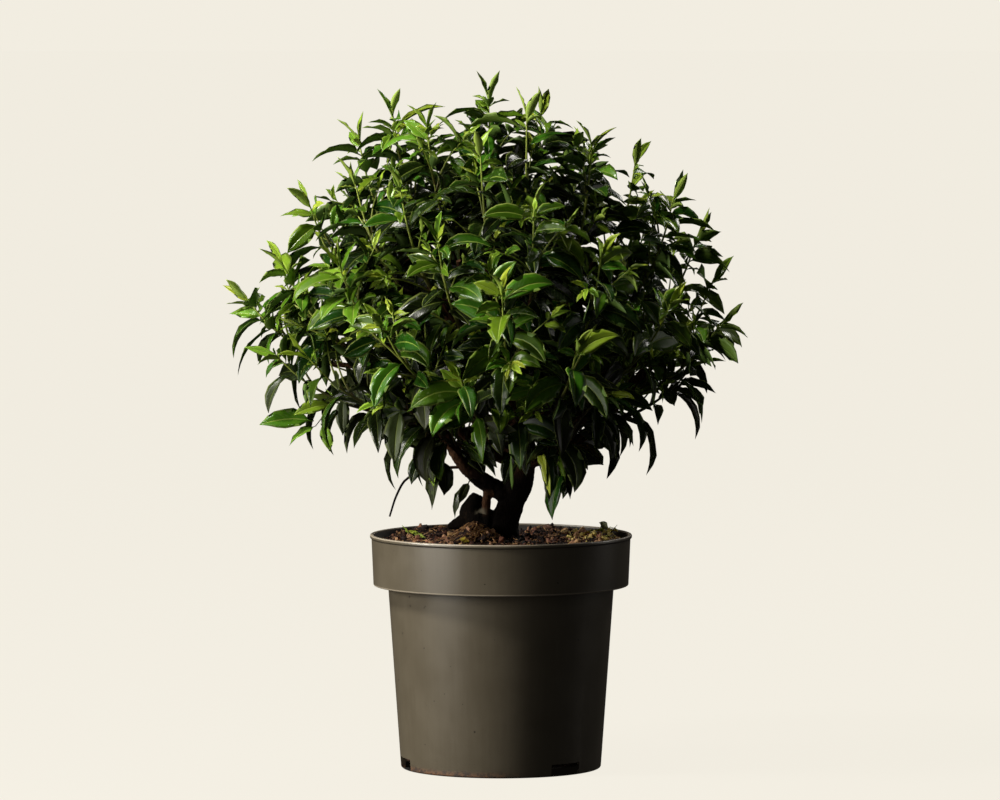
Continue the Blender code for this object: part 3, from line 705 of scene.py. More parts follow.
class Shoot:
    """A green stem from its seat on the wood to its tip, and the leaves along it."""

    def __init__(self, name, tip):
        self.name = name
        self.tip = tip
        self.leaves = []
        self.sides = []

    def route(self, dice, wander):
        """Lays the stem out from the tip backwards, leaning off its best line by wander."""
        tip = self.tip
        outward = (tip - FORK).normalized()
        rises = tip.z > CROWN_CENTRE.z
        lift = Vector((0, 0, 0.34 if rises else 0.12))
        lean = Vector([dice.uniform(-1, 1) for _ in range(3)]) * wander
        length = min(SHOOT_LENGTH, (tip - FORK).length * 0.5) * dice.uniform(0.93, 1.07)
        seat = tip - (outward + lift + lean).normalized() * length
        belly = (outward * 0.5 - Vector((0, 0, 1))).normalized() * length
        arches_down = tip.z < CROWN_CENTRE.z - 0.08
        knee = (seat + tip) / 2 + belly * (-0.14 if arches_down else 0.16)
        self.lay(bend(seat, knee, tip, SHOOT_STEPS), SHOOT_RADIUS)

    def lay(self, points, radius):
        self.points = points
        self.radii = taper(radius, radius * 0.7, len(points))
        self.start = (points[1] - points[0]).normalized()

    def at(self, share):
        """Place and heading at a share of the stem."""
        spot = min(share, 0.999) * (len(self.points) - 1)
        index = int(spot)
        a, b = self.points[index], self.points[index + 1]
        return a.lerp(b, spot - index), (b - a).normalized()


def reach(direction):
    """Distance from the crown's centre to the tips of its shoots."""
    slope = math.degrees(math.asin(direction.z))
    bulge = math.exp(-(((slope + 8) / 22) ** 2))
    waist = math.exp(-(((slope + 56) / 18) ** 2))
    return CROWN_RADIUS + CROWN_BULGE * bulge - CROWN_WAIST * waist


def shoots_of_the_crown():
    """The named shoots of the outline, then an even spread over the rest of the ball."""
    dice = random.Random(SEED)
    shoots = [Shoot("shoot_" + name, Vector(tip)) for name, tip in OUTLINE_SHOOTS.items()]
    count = 0
    for i in range(RULE_SHOOTS):
        z = 1 - 2 * (i + 0.5) / RULE_SHOOTS
        if z < LOWEST_SHOOT:
            continue
        flat = math.sqrt(1 - z * z)
        turn = i * GOLDEN_ANGLE + 0.4
        direction = Vector((flat * math.cos(turn), flat * math.sin(turn), z))
        tip = CROWN_CENTRE + direction * reach(direction) * dice.uniform(0.93, 1.0)
        if min((tip - other.tip).length for other in shoots) < SHOOT_SPACING:
            continue
        count += 1
        shoots.append(Shoot(f"shoot_{count:02d}", tip))
    return shoots


def twig_feet(shoot, limbs):
    """Places on the limbs that could carry the shoot's twig, the best first."""
    outward = (shoot.points[0] - FORK).normalized()
    feet = []
    for points, radii in limbs:
        for a, b, radius in zip(points, points[1:], radii[1:]):
            for share in (0.0, 0.5):
                foot = a.lerp(b, share)
                way = shoot.points[0] - foot
                cost = way.length * (1.6 - min(way.normalized().dot(outward), 0.9))
                feet.append((cost, tuple(foot), radius))
    return sorted(feet)


def twig_from(foot, radius, shoot):
    """A twig to just short of the shoot's seat, its last stretch in line with the shoot."""
    end = shoot.points[0] - shoot.start * GAP
    knee = end - shoot.start * min(0.012, (end - foot).length * 0.4)
    return [foot, knee, end], [min(0.0026, radius * 0.9), SHOOT_RADIUS * 1.25, SHOOT_RADIUS * 1.1]


def bar_shell(points, radii, sides):
    """Corners and faces of a tapering bar along the points, carried round its bends without a twist."""
    headings = [(b - a).normalized() for a, b in zip(points, points[1:])]
    turn = headings[0].to_track_quat("Z", "Y").to_matrix()
    corners = []
    for i, (point, radius) in enumerate(zip(points, radii)):
        before, after = headings[max(i - 1, 0)], headings[min(i, len(headings) - 1)]
        ahead = (before + after).normalized()
        turn = (turn @ Vector((0, 0, 1))).rotation_difference(ahead).to_matrix() @ turn
        for k in range(sides):
            angle = 2 * math.pi * k / sides
            corners.append(point + turn @ Vector((math.cos(angle), math.sin(angle), 0)) * radius)
    faces = [tuple(range(sides))[::-1], tuple(range(len(corners) - sides, len(corners)))]
    for i in range(len(points) - 1):
        for k in range(sides):
            a, b = i * sides + k, i * sides + (k + 1) % sides
            faces.append((a, b, b + sides, a + sides))
    return corners, faces


class Obstacle:
    """A surface that later stems and leaves stay clear of."""

    def __init__(self, corners, faces):
        self.tree = BVHTree.FromPolygons(corners, faces)
        low = Vector([min(c[k] for c in corners) for k in range(3)])
        high = Vector([max(c[k] for c in corners) for k in range(3)])
        self.middle = (low + high) / 2
        self.radius = (high - low).length / 2

    def meets(self, other):
        if (self.middle - other.middle).length > self.radius + other.radius:
            return False
        return bool(self.tree.overlap(other.tree))


def bar_obstacle(points, radii):
    """The obstacle that a bar makes, with a little air round it."""
    return Obstacle(*bar_shell(points, [radius + 2 * GAP for radius in radii], 4))


def clear_twig(shoot, limbs, stems):
    """The best twig that can carry the shoot and stands clear of the other stems, or None."""
    for _, foot, radius in twig_feet(shoot, limbs)[:8]:
        twig = twig_from(Vector(foot), radius, shoot)
        if not any(bar_obstacle(*twig).meets(stem) for stem in stems):
            return twig
    return None


def seat_shoots(shoots, limbs, base):
    """Lays out each shoot and the twig that carries it. Returns the twigs, and the obstacles so far."""
    dice = random.Random(SEED + 2)
    wood = [bar_obstacle(*line) for line in base + limbs]
    stems = []
    twigs = []
    for shoot in shoots:
        twig = None
        wander = 0.0
        while twig is None:
            shoot.route(dice, wander)
            wander += 0.012
            stem = bar_obstacle(shoot.points, shoot.radii)
            if not any(stem.meets(other) for other in wood + stems):
                twig = clear_twig(shoot, limbs, stems)
        stems.append(stem)
        wood.append(bar_obstacle(*twig))
        twigs.append(twig)
    return twigs, wood, stems


def leaf_on(shoot, share, turn, length, young, dice, wobble):
    """One leaf at a share of the stem, turned round it, with its own droop and tilt."""
    base, heading = shoot.at(share)
    round_stem = Matrix.Rotation(turn + wobble * dice.uniform(-1, 1), 3, heading)
    out = round_stem @ heading.orthogonal().normalized()
    opening = (0.30 if young else 1.30 - 0.40 * share) + wobble * dice.uniform(-0.35, 0.35)
    aim = heading * math.cos(opening) + out * math.sin(opening)
    tilt = Vector([dice.uniform(-1, 1) for _ in range(3)])
    outward = (base - CROWN_CENTRE).normalized()
    face = Vector((0, 0, 0.50)) + outward * 0.80 + (heading - out) * 0.20 + tilt * 0.28
    depth = max(0.0, (CROWN_CENTRE.z - base.z) / CROWN_RADIUS)
    droop = (0.35 if young else 0.95 + 0.45 * depth) + dice.uniform(-0.20, 0.40)
    fold = math.radians(dice.uniform(12, 24) + (10 if young else 0))
    slenderness = LEAF_SLENDERNESS * dice.uniform(0.88, 1.10)
    sections = YOUNG_SECTIONS if young else LEAF_SECTIONS
    return Leaf(base, aim, face, length, droop, fold, slenderness, sections)


def leaves_wanted(dice):
    """Share of the stem, turn, length and youth of each leaf that a shoot tries to grow."""
    first = dice.uniform(0, 2 * math.pi)
    wanted = []
    for index, share in enumerate(LEAF_PLACES):
        length = LEAF_LENGTH * dice.uniform(0.84, 1.06) * (1.04 - 0.20 * share)
        wanted.append((share, first + GOLDEN_ANGLE * index, length, False))
    for share, turn, length in YOUNG_PAIR:
        wanted.append((share, first + turn, LEAF_LENGTH * length, True))
    return wanted


class Crowd:
    """All that stands in the crown so far, kept so that the near ones are found at once."""

    most = 6000  # bodies that it has room for

    def __init__(self, bodies):
        self.bodies = []
        self.middles = np.zeros((self.most, 3))
        self.radii = np.zeros(self.most)
        for body in bodies:
            self.add(body)

    def add(self, body):
        self.middles[len(self.bodies)] = body.middle
        self.radii[len(self.bodies)] = body.radius
        self.bodies.append(body)

    def hits(self, body, but=None):
        count = len(self.bodies)
        away = np.linalg.norm(self.middles[:count] - np.array(body.middle), axis=1)
        near = np.nonzero(away <= self.radii[:count] + body.radius)[0]
        found = (self.bodies[index] for index in near)
        return any(body.tree.overlap(other.tree) for other in found if other is not but)


def grow_leaf(crowd, own_stem, shoot, share, turn, length, young, dice, tries, shape=leaf_on):
    """Bends a new leaf clear of all that stands, and gives it, or None where there is no room."""
    for attempt in range(tries):
        shrink = 1 - 0.02 * attempt
        leaf = shape(shoot, share, turn, length * shrink, young, dice, 0.25 + 0.09 * attempt)
        if leaf is None or leaf.frame(1.0)[0].z < LOWEST_LEAF:
            continue
        body = Obstacle(*leaf.solid(grow=GAP))
        if not crowd.hits(body, own_stem):
            crowd.add(body)
            return leaf
    return None


leader = millimetres(LEADER)
limbs = [millimetres(LEFT_LIMB), leader] + whorl(FORK, *LOW_WHORL) + whorl(leader[0][2], *HIGH_WHORL)
shoots = shoots_of_the_crown()
root_lines = [millimetres(route) for route in (TRUNK, BASE_STEM, BURL, BURL_FOOT, BARE_TWIG)]
twigs, wood_obstacles, stems = seat_shoots(shoots, limbs, root_lines)
crowd = Crowd(wood_obstacles + stems)
leaf_dice = random.Random(SEED + 1)
for shoot, own_stem in zip(shoots, stems):
    for share, turn, length, young in leaves_wanted(leaf_dice):
        leaf = grow_leaf(crowd, own_stem, shoot, share, turn, length, young, leaf_dice, TRIES)
        if leaf:
            leaf.age = 0.06 if young else 0.30 + 0.45 * (1 - share)
            shoot.leaves.append(leaf)


# Side shoots and further leaves
# Those that the CAD model does without. They grow in what room is left and close the crown, but
# for the gaps where the wood shows, and thin out at the lower left.

# Shares of the stem at which leaves grow
EXTRA_PLACES = (0.06, 0.16, 0.28, 0.43, 0.52, 0.59, 0.66, 0.72, 0.78, 0.83, 0.88, 0.93)
TIP_PLACES = (0.90, 0.94, 0.97, 0.99)
SIDE_PLACES = (0.14, 0.27, 0.38, 0.48, 0.57, 0.65, 0.73, 0.80, 0.87, 0.94)
TIP_LENGTH = (0.013, 0.024)
SIDE_SHOOTS = 5  # tried on each shoot
SIDE_LENGTH = (0.040, 0.078)
HOLLOW_SCALE = 19.0  # of the noise that leaves hollows in the crown
HOLLOW_LIMIT = 0.14  # value of the noise above which no large leaf grows
SKIRT = (0.268, 0.055, 0.56)  # lowest leaf under the trunk, where it starts to rise, and how fast
LOW_BAND = (0.42, 0.08)  # height below which the leaves hang and thin out, and over what depth
growth = random.Random(SEED + 5)


def hides_the_wood(place):
    """Whether a leaf there would hang before the left limb or the fork, which show from the front."""
    if place.y > 0.005:
        return False
    before_fork = -0.012 < place.x < 0.046 and place.z < 0.296
    limb_height = 0.267 - 1.3 * (place.x + 0.022)
    before_limb = -0.078 < place.x < -0.012 and abs(place.z - limb_height) < 0.017
    return before_fork or before_limb


def skirt_height(place):
    """How low the leaves hang there: the crown's underside rises outwards and is ragged."""
    out = math.hypot(place.x, place.y)
    ragged = noise.noise(Vector((place.x, place.y, 0.2)) * 26) * 0.026
    return SKIRT[0] + max(0.0, out - SKIRT[1]) * SKIRT[2] + ragged


def lowness(place):
    return clamped((LOW_BAND[0] - place.z) / LOW_BAND[1])


def bare_left(place):
    """How much thinner the leaves stand there, in the lower left of the crown."""
    return lowness(place) * clamped((-0.08 - place.x) / 0.05)


def curled(place):
    """How far the old leaves are rolled up there: low down, at the left and at the right."""
    low_right = clamped((0.400 - place.z) / 0.05) * clamped((place.x - 0.04) / 0.05)
    return max(bare_left(place), 0.8 * low_right)


def free_leaf(shoot, share, turn, length, young, dice, wobble):
    """A leaf as wide as the CAD model's, give or take, held at more of an angle, or None where it hides a
    gap.
    """
    plain = leaf_on(shoot, share, turn, length, young, dice, wobble)
    lean = Vector([dice.uniform(-1, 1) for _ in range(3)])
    face = plain.face + lean.cross(plain.aim) * 0.6
    low = lowness(plain.base)
    droop = max(0.2, plain.droop * dice.uniform(0.25, 1.15) * (1 - 0.35 * low))
    slenderness = plain.half_width * 2 / length * dice.uniform(0.86, 1.14)
    fold = plain.fold + dice.uniform(0.02, 0.28)
    aim = plain.aim + lean * 0.3 + Vector((0, 0, low * dice.uniform(0, 0.9)))
    leaf = Leaf(plain.base, aim, face, length, droop, fold, slenderness, plain.sections)
    tip = leaf.frame(1.0)[0]
    hollow = noise.noise(plain.base * HOLLOW_SCALE) > HOLLOW_LIMIT - 0.34 * bare_left(plain.base)
    if hollow and length > TIP_LENGTH[1]:
        return None
    if tip.z < skirt_height(tip) or hides_the_wood(tip) or hides_the_wood(leaf.frame(0.5)[0]):
        return None
    return leaf


def tuft(shoot, body, first):
    """The small leaves round the bud at the shoot's tip."""
    for index, share in enumerate(TIP_PLACES):
        length = growth.uniform(*TIP_LENGTH)
        turn = first + GOLDEN_ANGLE * index + 1.0
        leaf = grow_leaf(crowd, body, shoot, share, turn, length, False, growth, 5, free_leaf)
        if leaf:
            leaf.age = growth.uniform(0.05, 0.22)
            leaf.half_width *= 0.8
            shoot.leaves.append(leaf)


def clothe(shoot, body, first, places, lengths, youngest):
    """The leaves along the stem, which are shorter and younger towards its tip."""
    for index, share in enumerate(places):
        length = LEAF_LENGTH * growth.uniform(*lengths) * (1.06 - 0.48 * share)
        turn = first + GOLDEN_ANGLE * index
        leaf = grow_leaf(crowd, body, shoot, share, turn, length, False, growth, 7, free_leaf)
        if leaf:
            leaf.age = youngest + 0.5 * (1 - share)
            shoot.leaves.append(leaf)


for shoot, own_stem in zip(shoots, stems):
    first = growth.uniform(0, 2 * math.pi)
    tuft(shoot, own_stem, first)
    clothe(shoot, own_stem, first, EXTRA_PLACES, (0.70, 1.02), 0.26)


def side_shoot(parent, twig, order):
    """A side shoot that branches from the parent or its twig and keeps inside the crown, or None."""
    on_twig = order % 2 == 1
    for attempt in range(12):
        if on_twig:
            foot = twig[0][1].lerp(twig[0][2], growth.uniform(-0.4, 0.6))
            heading = parent.start
            share = 0.0
        else:
            share = growth.uniform(0.04, 0.62)
            foot, heading = parent.at(share)
        spin = Matrix.Rotation(GOLDEN_ANGLE * order + growth.uniform(-0.7, 0.7) + attempt, 3, heading)
        out = spin @ heading.orthogonal().normalized()
        spread = math.radians(growth.uniform(28, 62))
        upright = Vector((0, 0, growth.uniform(0.10, 0.55)))
        way = (heading * math.cos(spread) + out * math.sin(spread) + upright).normalized()
        length = growth.uniform(*SIDE_LENGTH) * (1 - 0.35 * share)
        tip = foot + way * length
        from_centre = tip - CROWN_CENTRE
        limit = max(reach(from_centre.normalized()), (parent.tip - CROWN_CENTRE).length) - 0.010
        if from_centre.length > limit or tip.z < skirt_height(tip) + 0.030 or hides_the_wood(tip):
            continue
        if growth.random() < 0.8 * bare_left(tip):
            return None
        side = Shoot(parent.name, tip)
        knee = foot + (heading * 0.5 + way * 0.5) * length * 0.5
        side.lay(bend(foot, knee, tip, SHOOT_STEPS), SHOOT_RADIUS * 0.72)
        clear_part = bar_obstacle(side.points[1:], side.radii[1:])
        if crowd.hits(clear_part):
            continue
        return side
    return None


for shoot, twig, own_stem in zip(shoots, twigs, stems):
    for order in range(SIDE_SHOOTS):
        side = side_shoot(shoot, twig, order)
        if side is None:
            continue
        body = bar_obstacle(side.points, side.radii)
        crowd.add(body)
        first = growth.uniform(0, 2 * math.pi)
        for share, turn, size in YOUNG_PAIR:
            length = LEAF_LENGTH * size * 0.7
            leaf = grow_leaf(crowd, body, side, share, first + turn, length, True, growth, 5)
            if leaf:
                leaf.age = 0.05
                side.leaves.append(leaf)
        tuft(side, body, first)
        clothe(side, body, first, SIDE_PLACES, (0.66, 0.98), 0.24)
        shoot.sides.append(side)


# Sprigs placed one by one
# Those that hang from the limbs under the crown, and one at the upper left of its outline. In
# millimetres: the points of the stem, then each leaf's base, tip, width over length and age.

LOW_SPRIGS = (
    (((-54, -16, 320), (-58, -28, 309), (-55, -33, 297)),
     (((-55, -33, 297), (-49, -38, 264), 0.46, 0.45), ((-57, -30, 305), (-80, -40, 283), 0.38, 0.60))),
    (((-67, -20, 335), (-72, -34, 312), (-67, -38, 292)),
     (((-67, -38, 292), (-58, -42, 251), 0.40, 0.62), ((-68, -37, 297), (-62, -47, 273), 0.36, 0.15),
      ((-71, -36, 306), (-88, -42, 276), 0.38, 0.66))),
    (((-24, -6, 277), (-29, -14, 276), (-32, -18, 271)),
     (((-32, -18, 271), (-47, -24, 242), 0.42, 0.62), ((-30, -16, 274), (-40, -30, 256), 0.36, 0.75))),
    (((-44, -12, 303), (-38, -20, 316), (-36, -25, 322)),
     (((-38, -22, 320), (-3, -30, 291), 0.46, 0.85), ((-40, -18, 312), (-14, -27, 283), 0.40, 0.78),
      ((-36, -25, 323), (-18, -40, 306), 0.38, 0.5))),
    (((16, -41, 309), (24, -46, 317), (33, -49, 315)),
     (((33, -49, 315), (49, -74, 268), 0.26, 0.02), ((26, -46, 317), (22, -58, 284), 0.36, 0.5),
      ((20, -42, 312), (-1, -46, 276), 0.36, 0.68))),
    (((50, -30, 308), (58, -39, 303), (60, -43, 291)),
     (((60, -43, 291), (42, -50, 244), 0.38, 0.60), ((57, -40, 302), (40, -44, 257), 0.30, 0.85),
      ((60, -42, 297), (70, -50, 262), 0.32, 0.66), ((55, -36, 305), (62, -54, 275), 0.24, 0.14))),
    (((-128, -14, 376), (-158, -21, 350), (-176, -26, 328)),
     (((-178, -27, 333), (-228, -30, 331), 0.38, 0.40), ((-176, -26, 328), (-201, -36, 311), 0.40, 0.22),
      ((-171, -25, 330), (-160, -32, 306), 0.40, 0.24), ((-160, -22, 348), (-196, -34, 340), 0.34, 0.36),
      ((-150, -19, 356), (-150, -36, 322), 0.34, 0.50))),
    (((-162, -8, 500), (-170, -11, 514), (-177, -13, 529)),
     (((-172, -12, 519), (-203, -24, 494), 0.42, 0.42), ((-176, -13, 527), (-209, -20, 528), 0.30, 0.28))),
)


def smooth_route(points, radii, steps):
    """The same line through the same points, rounded between them."""
    ends = [points[0] * 2 - points[1]] + list(points) + [points[-1] * 2 - points[-2]]
    sizes = [radii[0]] + list(radii) + [radii[-1]]
    line, thickness = [], []
    for k in range(1, len(points)):
        for step in range(steps):
            t = step / steps
            a, b, c, d = ends[k - 1], ends[k], ends[k + 1], ends[k + 2]
            line.append(b + ((c - a) * t + (a * 2 - b * 5 + c * 4 - d) * t * t
                             + (b * 3 - a - c * 3 + d) * t ** 3) * 0.5)
            thickness.append(sizes[k] + (sizes[k + 1] - sizes[k]) * t)
    return line + [points[-1]], thickness + [radii[-1]]


def hand_placed(name, route, radius):
    """A stem through these points in millimetres."""
    points = [Vector(point) * 0.001 for point in route]
    stem = Shoot(name, points[-1])
    stem.lay(points, radius)
    return stem


low_sprigs = []
for route, leaf_rows in LOW_SPRIGS:
    sprig = hand_placed("low_sprigs", route, SHOOT_RADIUS * 0.66)
    sprig.lay(smooth_route(sprig.points, sprig.radii, 3)[0], SHOOT_RADIUS * 0.66)
    for leaf_base, leaf_tip, slenderness, age in leaf_rows:
        start = Vector(leaf_base) * 0.001
        way = Vector(leaf_tip) * 0.001 - start
        aim = way.normalized() + Vector((0, 0, 0.25))
        face = Vector((-0.5, -1.0, 0.45))
        leaf = Leaf(start, aim, face, way.length * 1.05, 0.55, math.radians(16), slenderness, LEAF_SECTIONS)
        leaf.age = age
        if age < 0.30:
            leaf.tone = -0.3
        sprig.leaves.append(leaf)
        crowd.add(Obstacle(*leaf.solid()))
    low_sprigs.append(sprig)


# Old leaves
# The darkest leaves of the crown, old ones which still hang on the twigs and limbs inside it, and are
# painted near black as painted shade inside the crown. They are what shows through the gaps between
# the leafy shoots.

TWIG_LEAVES = 9

inner = []
limb_bodies = wood_obstacles[len(root_lines):len(root_lines) + len(limbs)]
twig_bodies = wood_obstacles[len(root_lines) + len(limbs):]
carriers = list(zip(twigs, twig_bodies)) + list(zip(limbs[2:], limb_bodies[2:]))
for index, ((points, radii), body) in enumerate(carriers):
    carrier = Shoot("inner", points[-1])
    carrier.lay(points, radii[0])
    for order in range(TWIG_LEAVES):
        share = 0.12 + 0.85 * (order + growth.random()) / TWIG_LEAVES
        turn = GOLDEN_ANGLE * order + index
        length = LEAF_LENGTH * growth.uniform(0.7, 1.05)
        leaf = grow_leaf(crowd, body, carrier, share, turn, length, False, growth, 6, free_leaf)
        if leaf:
            # Old leaves, painted near black as painted shade inside the crown as well
            leaf.age = growth.uniform(0.8, 1.0)
            carrier.leaves.append(leaf)
    inner.append(carrier)


# The wood
# Root stock, forked trunk and burl of dark, finely cracked bark, with the limbs and twigs that
# carry the shoots. It has grown as one piece, so the thick parts are fused into one skin.

BARK_GRAIN = 0.0011
BARK_SWELLING = 0.0035
LICHEN = (0.16, 0.14, 0.10, 1)
TRUNK_SIDES = 20
LIMB_SIDES = 10


def line_mesh(name, lines):
    """A mesh of bare edges along the lines, each point with its radius and its share of the line."""
    corners, edges, radii, along = [], [], [], []
    for points, sizes in lines:
        first = len(corners)
        corners += points
        radii += sizes
        along += [k / (len(points) - 1) for k in range(len(points))]
        edges += [(first + k, first + k + 1) for k in range(len(points) - 1)]
    mesh = bpy.data.meshes.new(name)
    mesh.from_pydata(corners, edges, [])
    mesh.attributes.new("radius", "FLOAT", "POINT").data.foreach_set("value", radii)
    mesh.attributes.new("along", "FLOAT", "POINT").data.foreach_set("value", along)
    return mesh


def named(tree, name, kind="FLOAT"):
    return node(tree, "GeometryNodeInputNamedAttribute", {"data_type": kind}, {"Name": name})


def swept(tree, lines, sides):
    """Round bars along the edges of lines, as thick as their points say, with closed ends."""
    curve = node(tree, "GeometryNodeMeshToCurve", None, {0: lines})
    ring = node(tree, "GeometryNodeCurvePrimitiveCircle", None, {"Resolution": sides, "Radius": 1.0})
    return node(tree, "GeometryNodeCurveToMesh", None, {
        "Curve": curve, "Profile Curve": ring, "Scale": named(tree, "radius"), "Fill Caps": True})


bar_tree = bpy.data.node_groups.new("Grow bars", "GeometryNodeTree")
bar_input = inputs_of(bar_tree, {"Lines": "Geometry", "Sides": "Int", "Finish": "Material"})
bars = swept(bar_tree, bar_input["Lines"], bar_input["Sides"])
bars = node(bar_tree, "GeometryNodeSetMaterial", None, {0: bars, "Material": bar_input["Finish"]})
send_out(bar_tree, bars)

bark_tree = bpy.data.node_groups.new("Crack the bark", "GeometryNodeTree")
bark_input = inputs_of(bark_tree, {"Wood": "Geometry", "Swelling": "Float", "Cracks": "Float"})
bark_point = node(bark_tree, "GeometryNodeInputPosition")
outwards = node(bark_tree, "GeometryNodeInputNormal")
drawn_out = bark_point.vector_maths("MULTIPLY", (1, 1, 0.28))
swelling = node(bark_tree, "ShaderNodeTexNoise", None, {0: bark_point, 2: 95.0, 3: 2.0}) - 0.5
cracks = node(bark_tree, "ShaderNodeTexNoise", None, {0: drawn_out, 2: 620.0, 3: 3.0}) - 0.5
lift = outwards * (swelling * bark_input["Swelling"] + cracks * bark_input["Cracks"])
rough = node(bark_tree, "GeometryNodeSetPosition", None, {0: bark_input["Wood"], "Offset": lift})
send_out(bark_tree, rough)

bark = Finish("bark")
bark_place = bark.place()
bark_x, bark_y, bark_z = (bark_place.part(axis) for axis in range(3))
bark_cracks = bark.speckle(bark.place((1, 1, 0.25)), 700.0, 4.0, 0.6)
bark_patches = bark.speckle(bark_place, 60.0, 3.0)
bark_grain = bark_cracks * 0.65 + bark_patches * 0.35
# The old bark is near black: its own dark colour, painted darker still as painted shade under the crown
old_bark_and_shade = bark_grain.colours(
    (0.34, (0.002, 0.0013, 0.0010)),
    (0.56, (0.004, 0.0025, 0.0016)),
    (0.72, (0.016, 0.0095, 0.0055)),
)
young_bark = bark_grain.colours(
    (0.34, (0.018, 0.009, 0.005)),
    (0.52, (0.060, 0.028, 0.014)),
    (0.70, (0.150, 0.078, 0.042)),
)
on_base_stem = bark_x.off(-0.0125).ramp(0.0062, 0.0045) * bark_y.ramp(0.0015, -0.0015)
on_base_stem = on_base_stem * bark_z.ramp(0.268, 0.260) * bark_z.ramp(0.238, 0.250)
youth = bark_z.ramp(0.272, 0.296).maths("MAXIMUM", on_base_stem)
lichen = bark_x.off(-0.019).ramp(0.007, 0.003) * bark_patches.ramp(0.50, 0.56)
lichen = lichen * bark_z.ramp(0.250, 0.245) * bark_y.ramp(0.0, -0.003)
# Old bark with its painted shade below, young bark above, and lichen
skin_colour = (lichen * 0.7).blend(youth.blend(old_bark_and_shade, young_bark), LICHEN)
bark.wear(Base_Color=skin_colour, Roughness=0.9, Specular_IOR_Level=0.08)
bark.bump(bark_cracks, 0.0010)

thick = root_lines[:4] + limbs[:1]
thick += [(points[:3], radii[:3]) for points, radii in limbs[2:10] + [leader]]
branches = object_from("branches", line_mesh("branches", [smooth_route(*line, 5) for line in thick]))
apply_tree(branches, bar_tree, {"Sides": TRUNK_SIDES, "Finish": bark.material})
skin = branches.modifiers.new("fuse", "REMESH")
skin.mode = "VOXEL"
skin.voxel_size = 0.0013
skin.use_smooth_shade = True
apply_modifiers(branches)
apply_tree(branches, bark_tree, {"Swelling": BARK_SWELLING, "Cracks": BARK_GRAIN})

thin = [smooth_route(*line, 4) for line in root_lines[4:] + limbs[1:] + twigs]
twig_bars = object_from("twigs", line_mesh("twigs", thin))
apply_tree(twig_bars, bar_tree, {"Sides": LIMB_SIDES, "Finish": bark.material})
bm = bmesh.new()
bm.from_mesh(branches.data)
bm.from_mesh(twig_bars.data)
bm.to_mesh(branches.data)
bm.free()
bpy.data.objects.remove(twig_bars)
branches.data.materials.clear()
branches.data.materials.append(bark.material)
branches.data.shade_smooth()
settle(branches, "bark", "wood")


# The leafy shoots
# Green stems with their leaves: narrow, glossy, leathery blades, folded along a pale midrib and
# arched down to a long point, on short stalks. The youngest stand upright in pairs at the tips.

STEM_SIDES = 8
STALK_THICKNESS = 0.0007
EDGE_WAVE = 0.0009
# Share of the length, width over the greatest, thickness over the stalk's
BLADE_ROWS = (
    (0.0, 0.065, 1.0), (0.10, 0.065, 0.9), (0.155, 0.36, 0.50), (0.24, 0.74, 0.38), (0.37, 0.97, 0.30),
    (0.53, 1.0, 0.27), (0.69, 0.86, 0.23), (0.82, 0.54, 0.19), (0.92, 0.21, 0.14), (1.0, 0.0, 0.0),
)
BLADE_COLUMNS = (-1.0, -0.52, 0.0, 0.52, 1.0)
LEAF_VECTORS = ("aim", "turn", "face", "root")
LEAF_NUMBERS = ("length", "droop", "half", "fold", "twist", "wave")
HABITS = (("tone", -1, 1), ("hue", -1, 1), ("twist", -1, 1), ("wave", 0, 6.28))  # drawn for each leaf
OLD_STEM = (0.024, 0.015, 0.008, 1)
RIB_GREEN = (0.330, 0.430, 0.080, 1)
# Pale green of the leaf margins, brightened as a painted highlight
RIM_AND_HIGHLIGHT_GREEN = (0.400, 0.480, 0.110, 1)
VEIN_GREEN = (0.240, 0.350, 0.030, 1)
# Dull olive of old low leaves, which also stands as painted shade under the crown
DULL_SHADED_GREEN = (0.040, 0.043, 0.015, 1)


def blade_pattern():
    """The flat blade that every leaf is bent from: an upper and an under side that share their edge."""
    places, maps, sheets, faces = [], [], [], []
    number = {}
    for row, (share, width, thickness) in enumerate(BLADE_ROWS):
        for column, across in enumerate(BLADE_COLUMNS):
            for sheet in (1, -1):
                edge = column in (0, len(BLADE_COLUMNS) - 1) or row in (0, len(BLADE_ROWS) - 1)
                if width == 0 and column > 0:
                    number[row, column, sheet] = number[row, 0, 1]
                    continue
                if edge and sheet == -1:
                    number[row, column, sheet] = number[row, column, 1]
                    continue
                number[row, column, sheet] = len(places)
                rounding = 1 - 0.35 * abs(across)
                places.append((across * width, share, 0 if edge else sheet * thickness * rounding))
                sheets.append(0 if edge else sheet)
                maps.append((across * 0.5 + 0.5, share))
    for row in range(len(BLADE_ROWS) - 1):
        for column in range(len(BLADE_COLUMNS) - 1):
            for sheet in (1, -1):
                ring = [number[row, column, sheet], number[row, column + 1, sheet],
                        number[row + 1, column + 1, sheet], number[row + 1, column, sheet]]
                ring = list(dict.fromkeys(ring))
                faces.append(ring if sheet == 1 else ring[::-1])
    mesh = bpy.data.meshes.new("blade")
    mesh.from_pydata(places, [], faces)
    mesh.attributes.new("pattern", "FLOAT_VECTOR", "POINT").data.foreach_set("vector", np.ravel(places))
    mesh.attributes.new("sheet", "FLOAT", "POINT").data.foreach_set("value", sheets)
    layer = mesh.uv_layers.new(name="blade")
    for loop in mesh.loops:
        layer.data[loop.index].uv = maps[loop.vertex_index]
    mesh.shade_smooth()
    middle = len(BLADE_COLUMNS) // 2
    rib = {number[row, middle, 1] for row in range(len(BLADE_ROWS) - 1)}
    for edge in mesh.edges:
        edge.use_edge_sharp = set(edge.vertices) <= rib
    return mesh


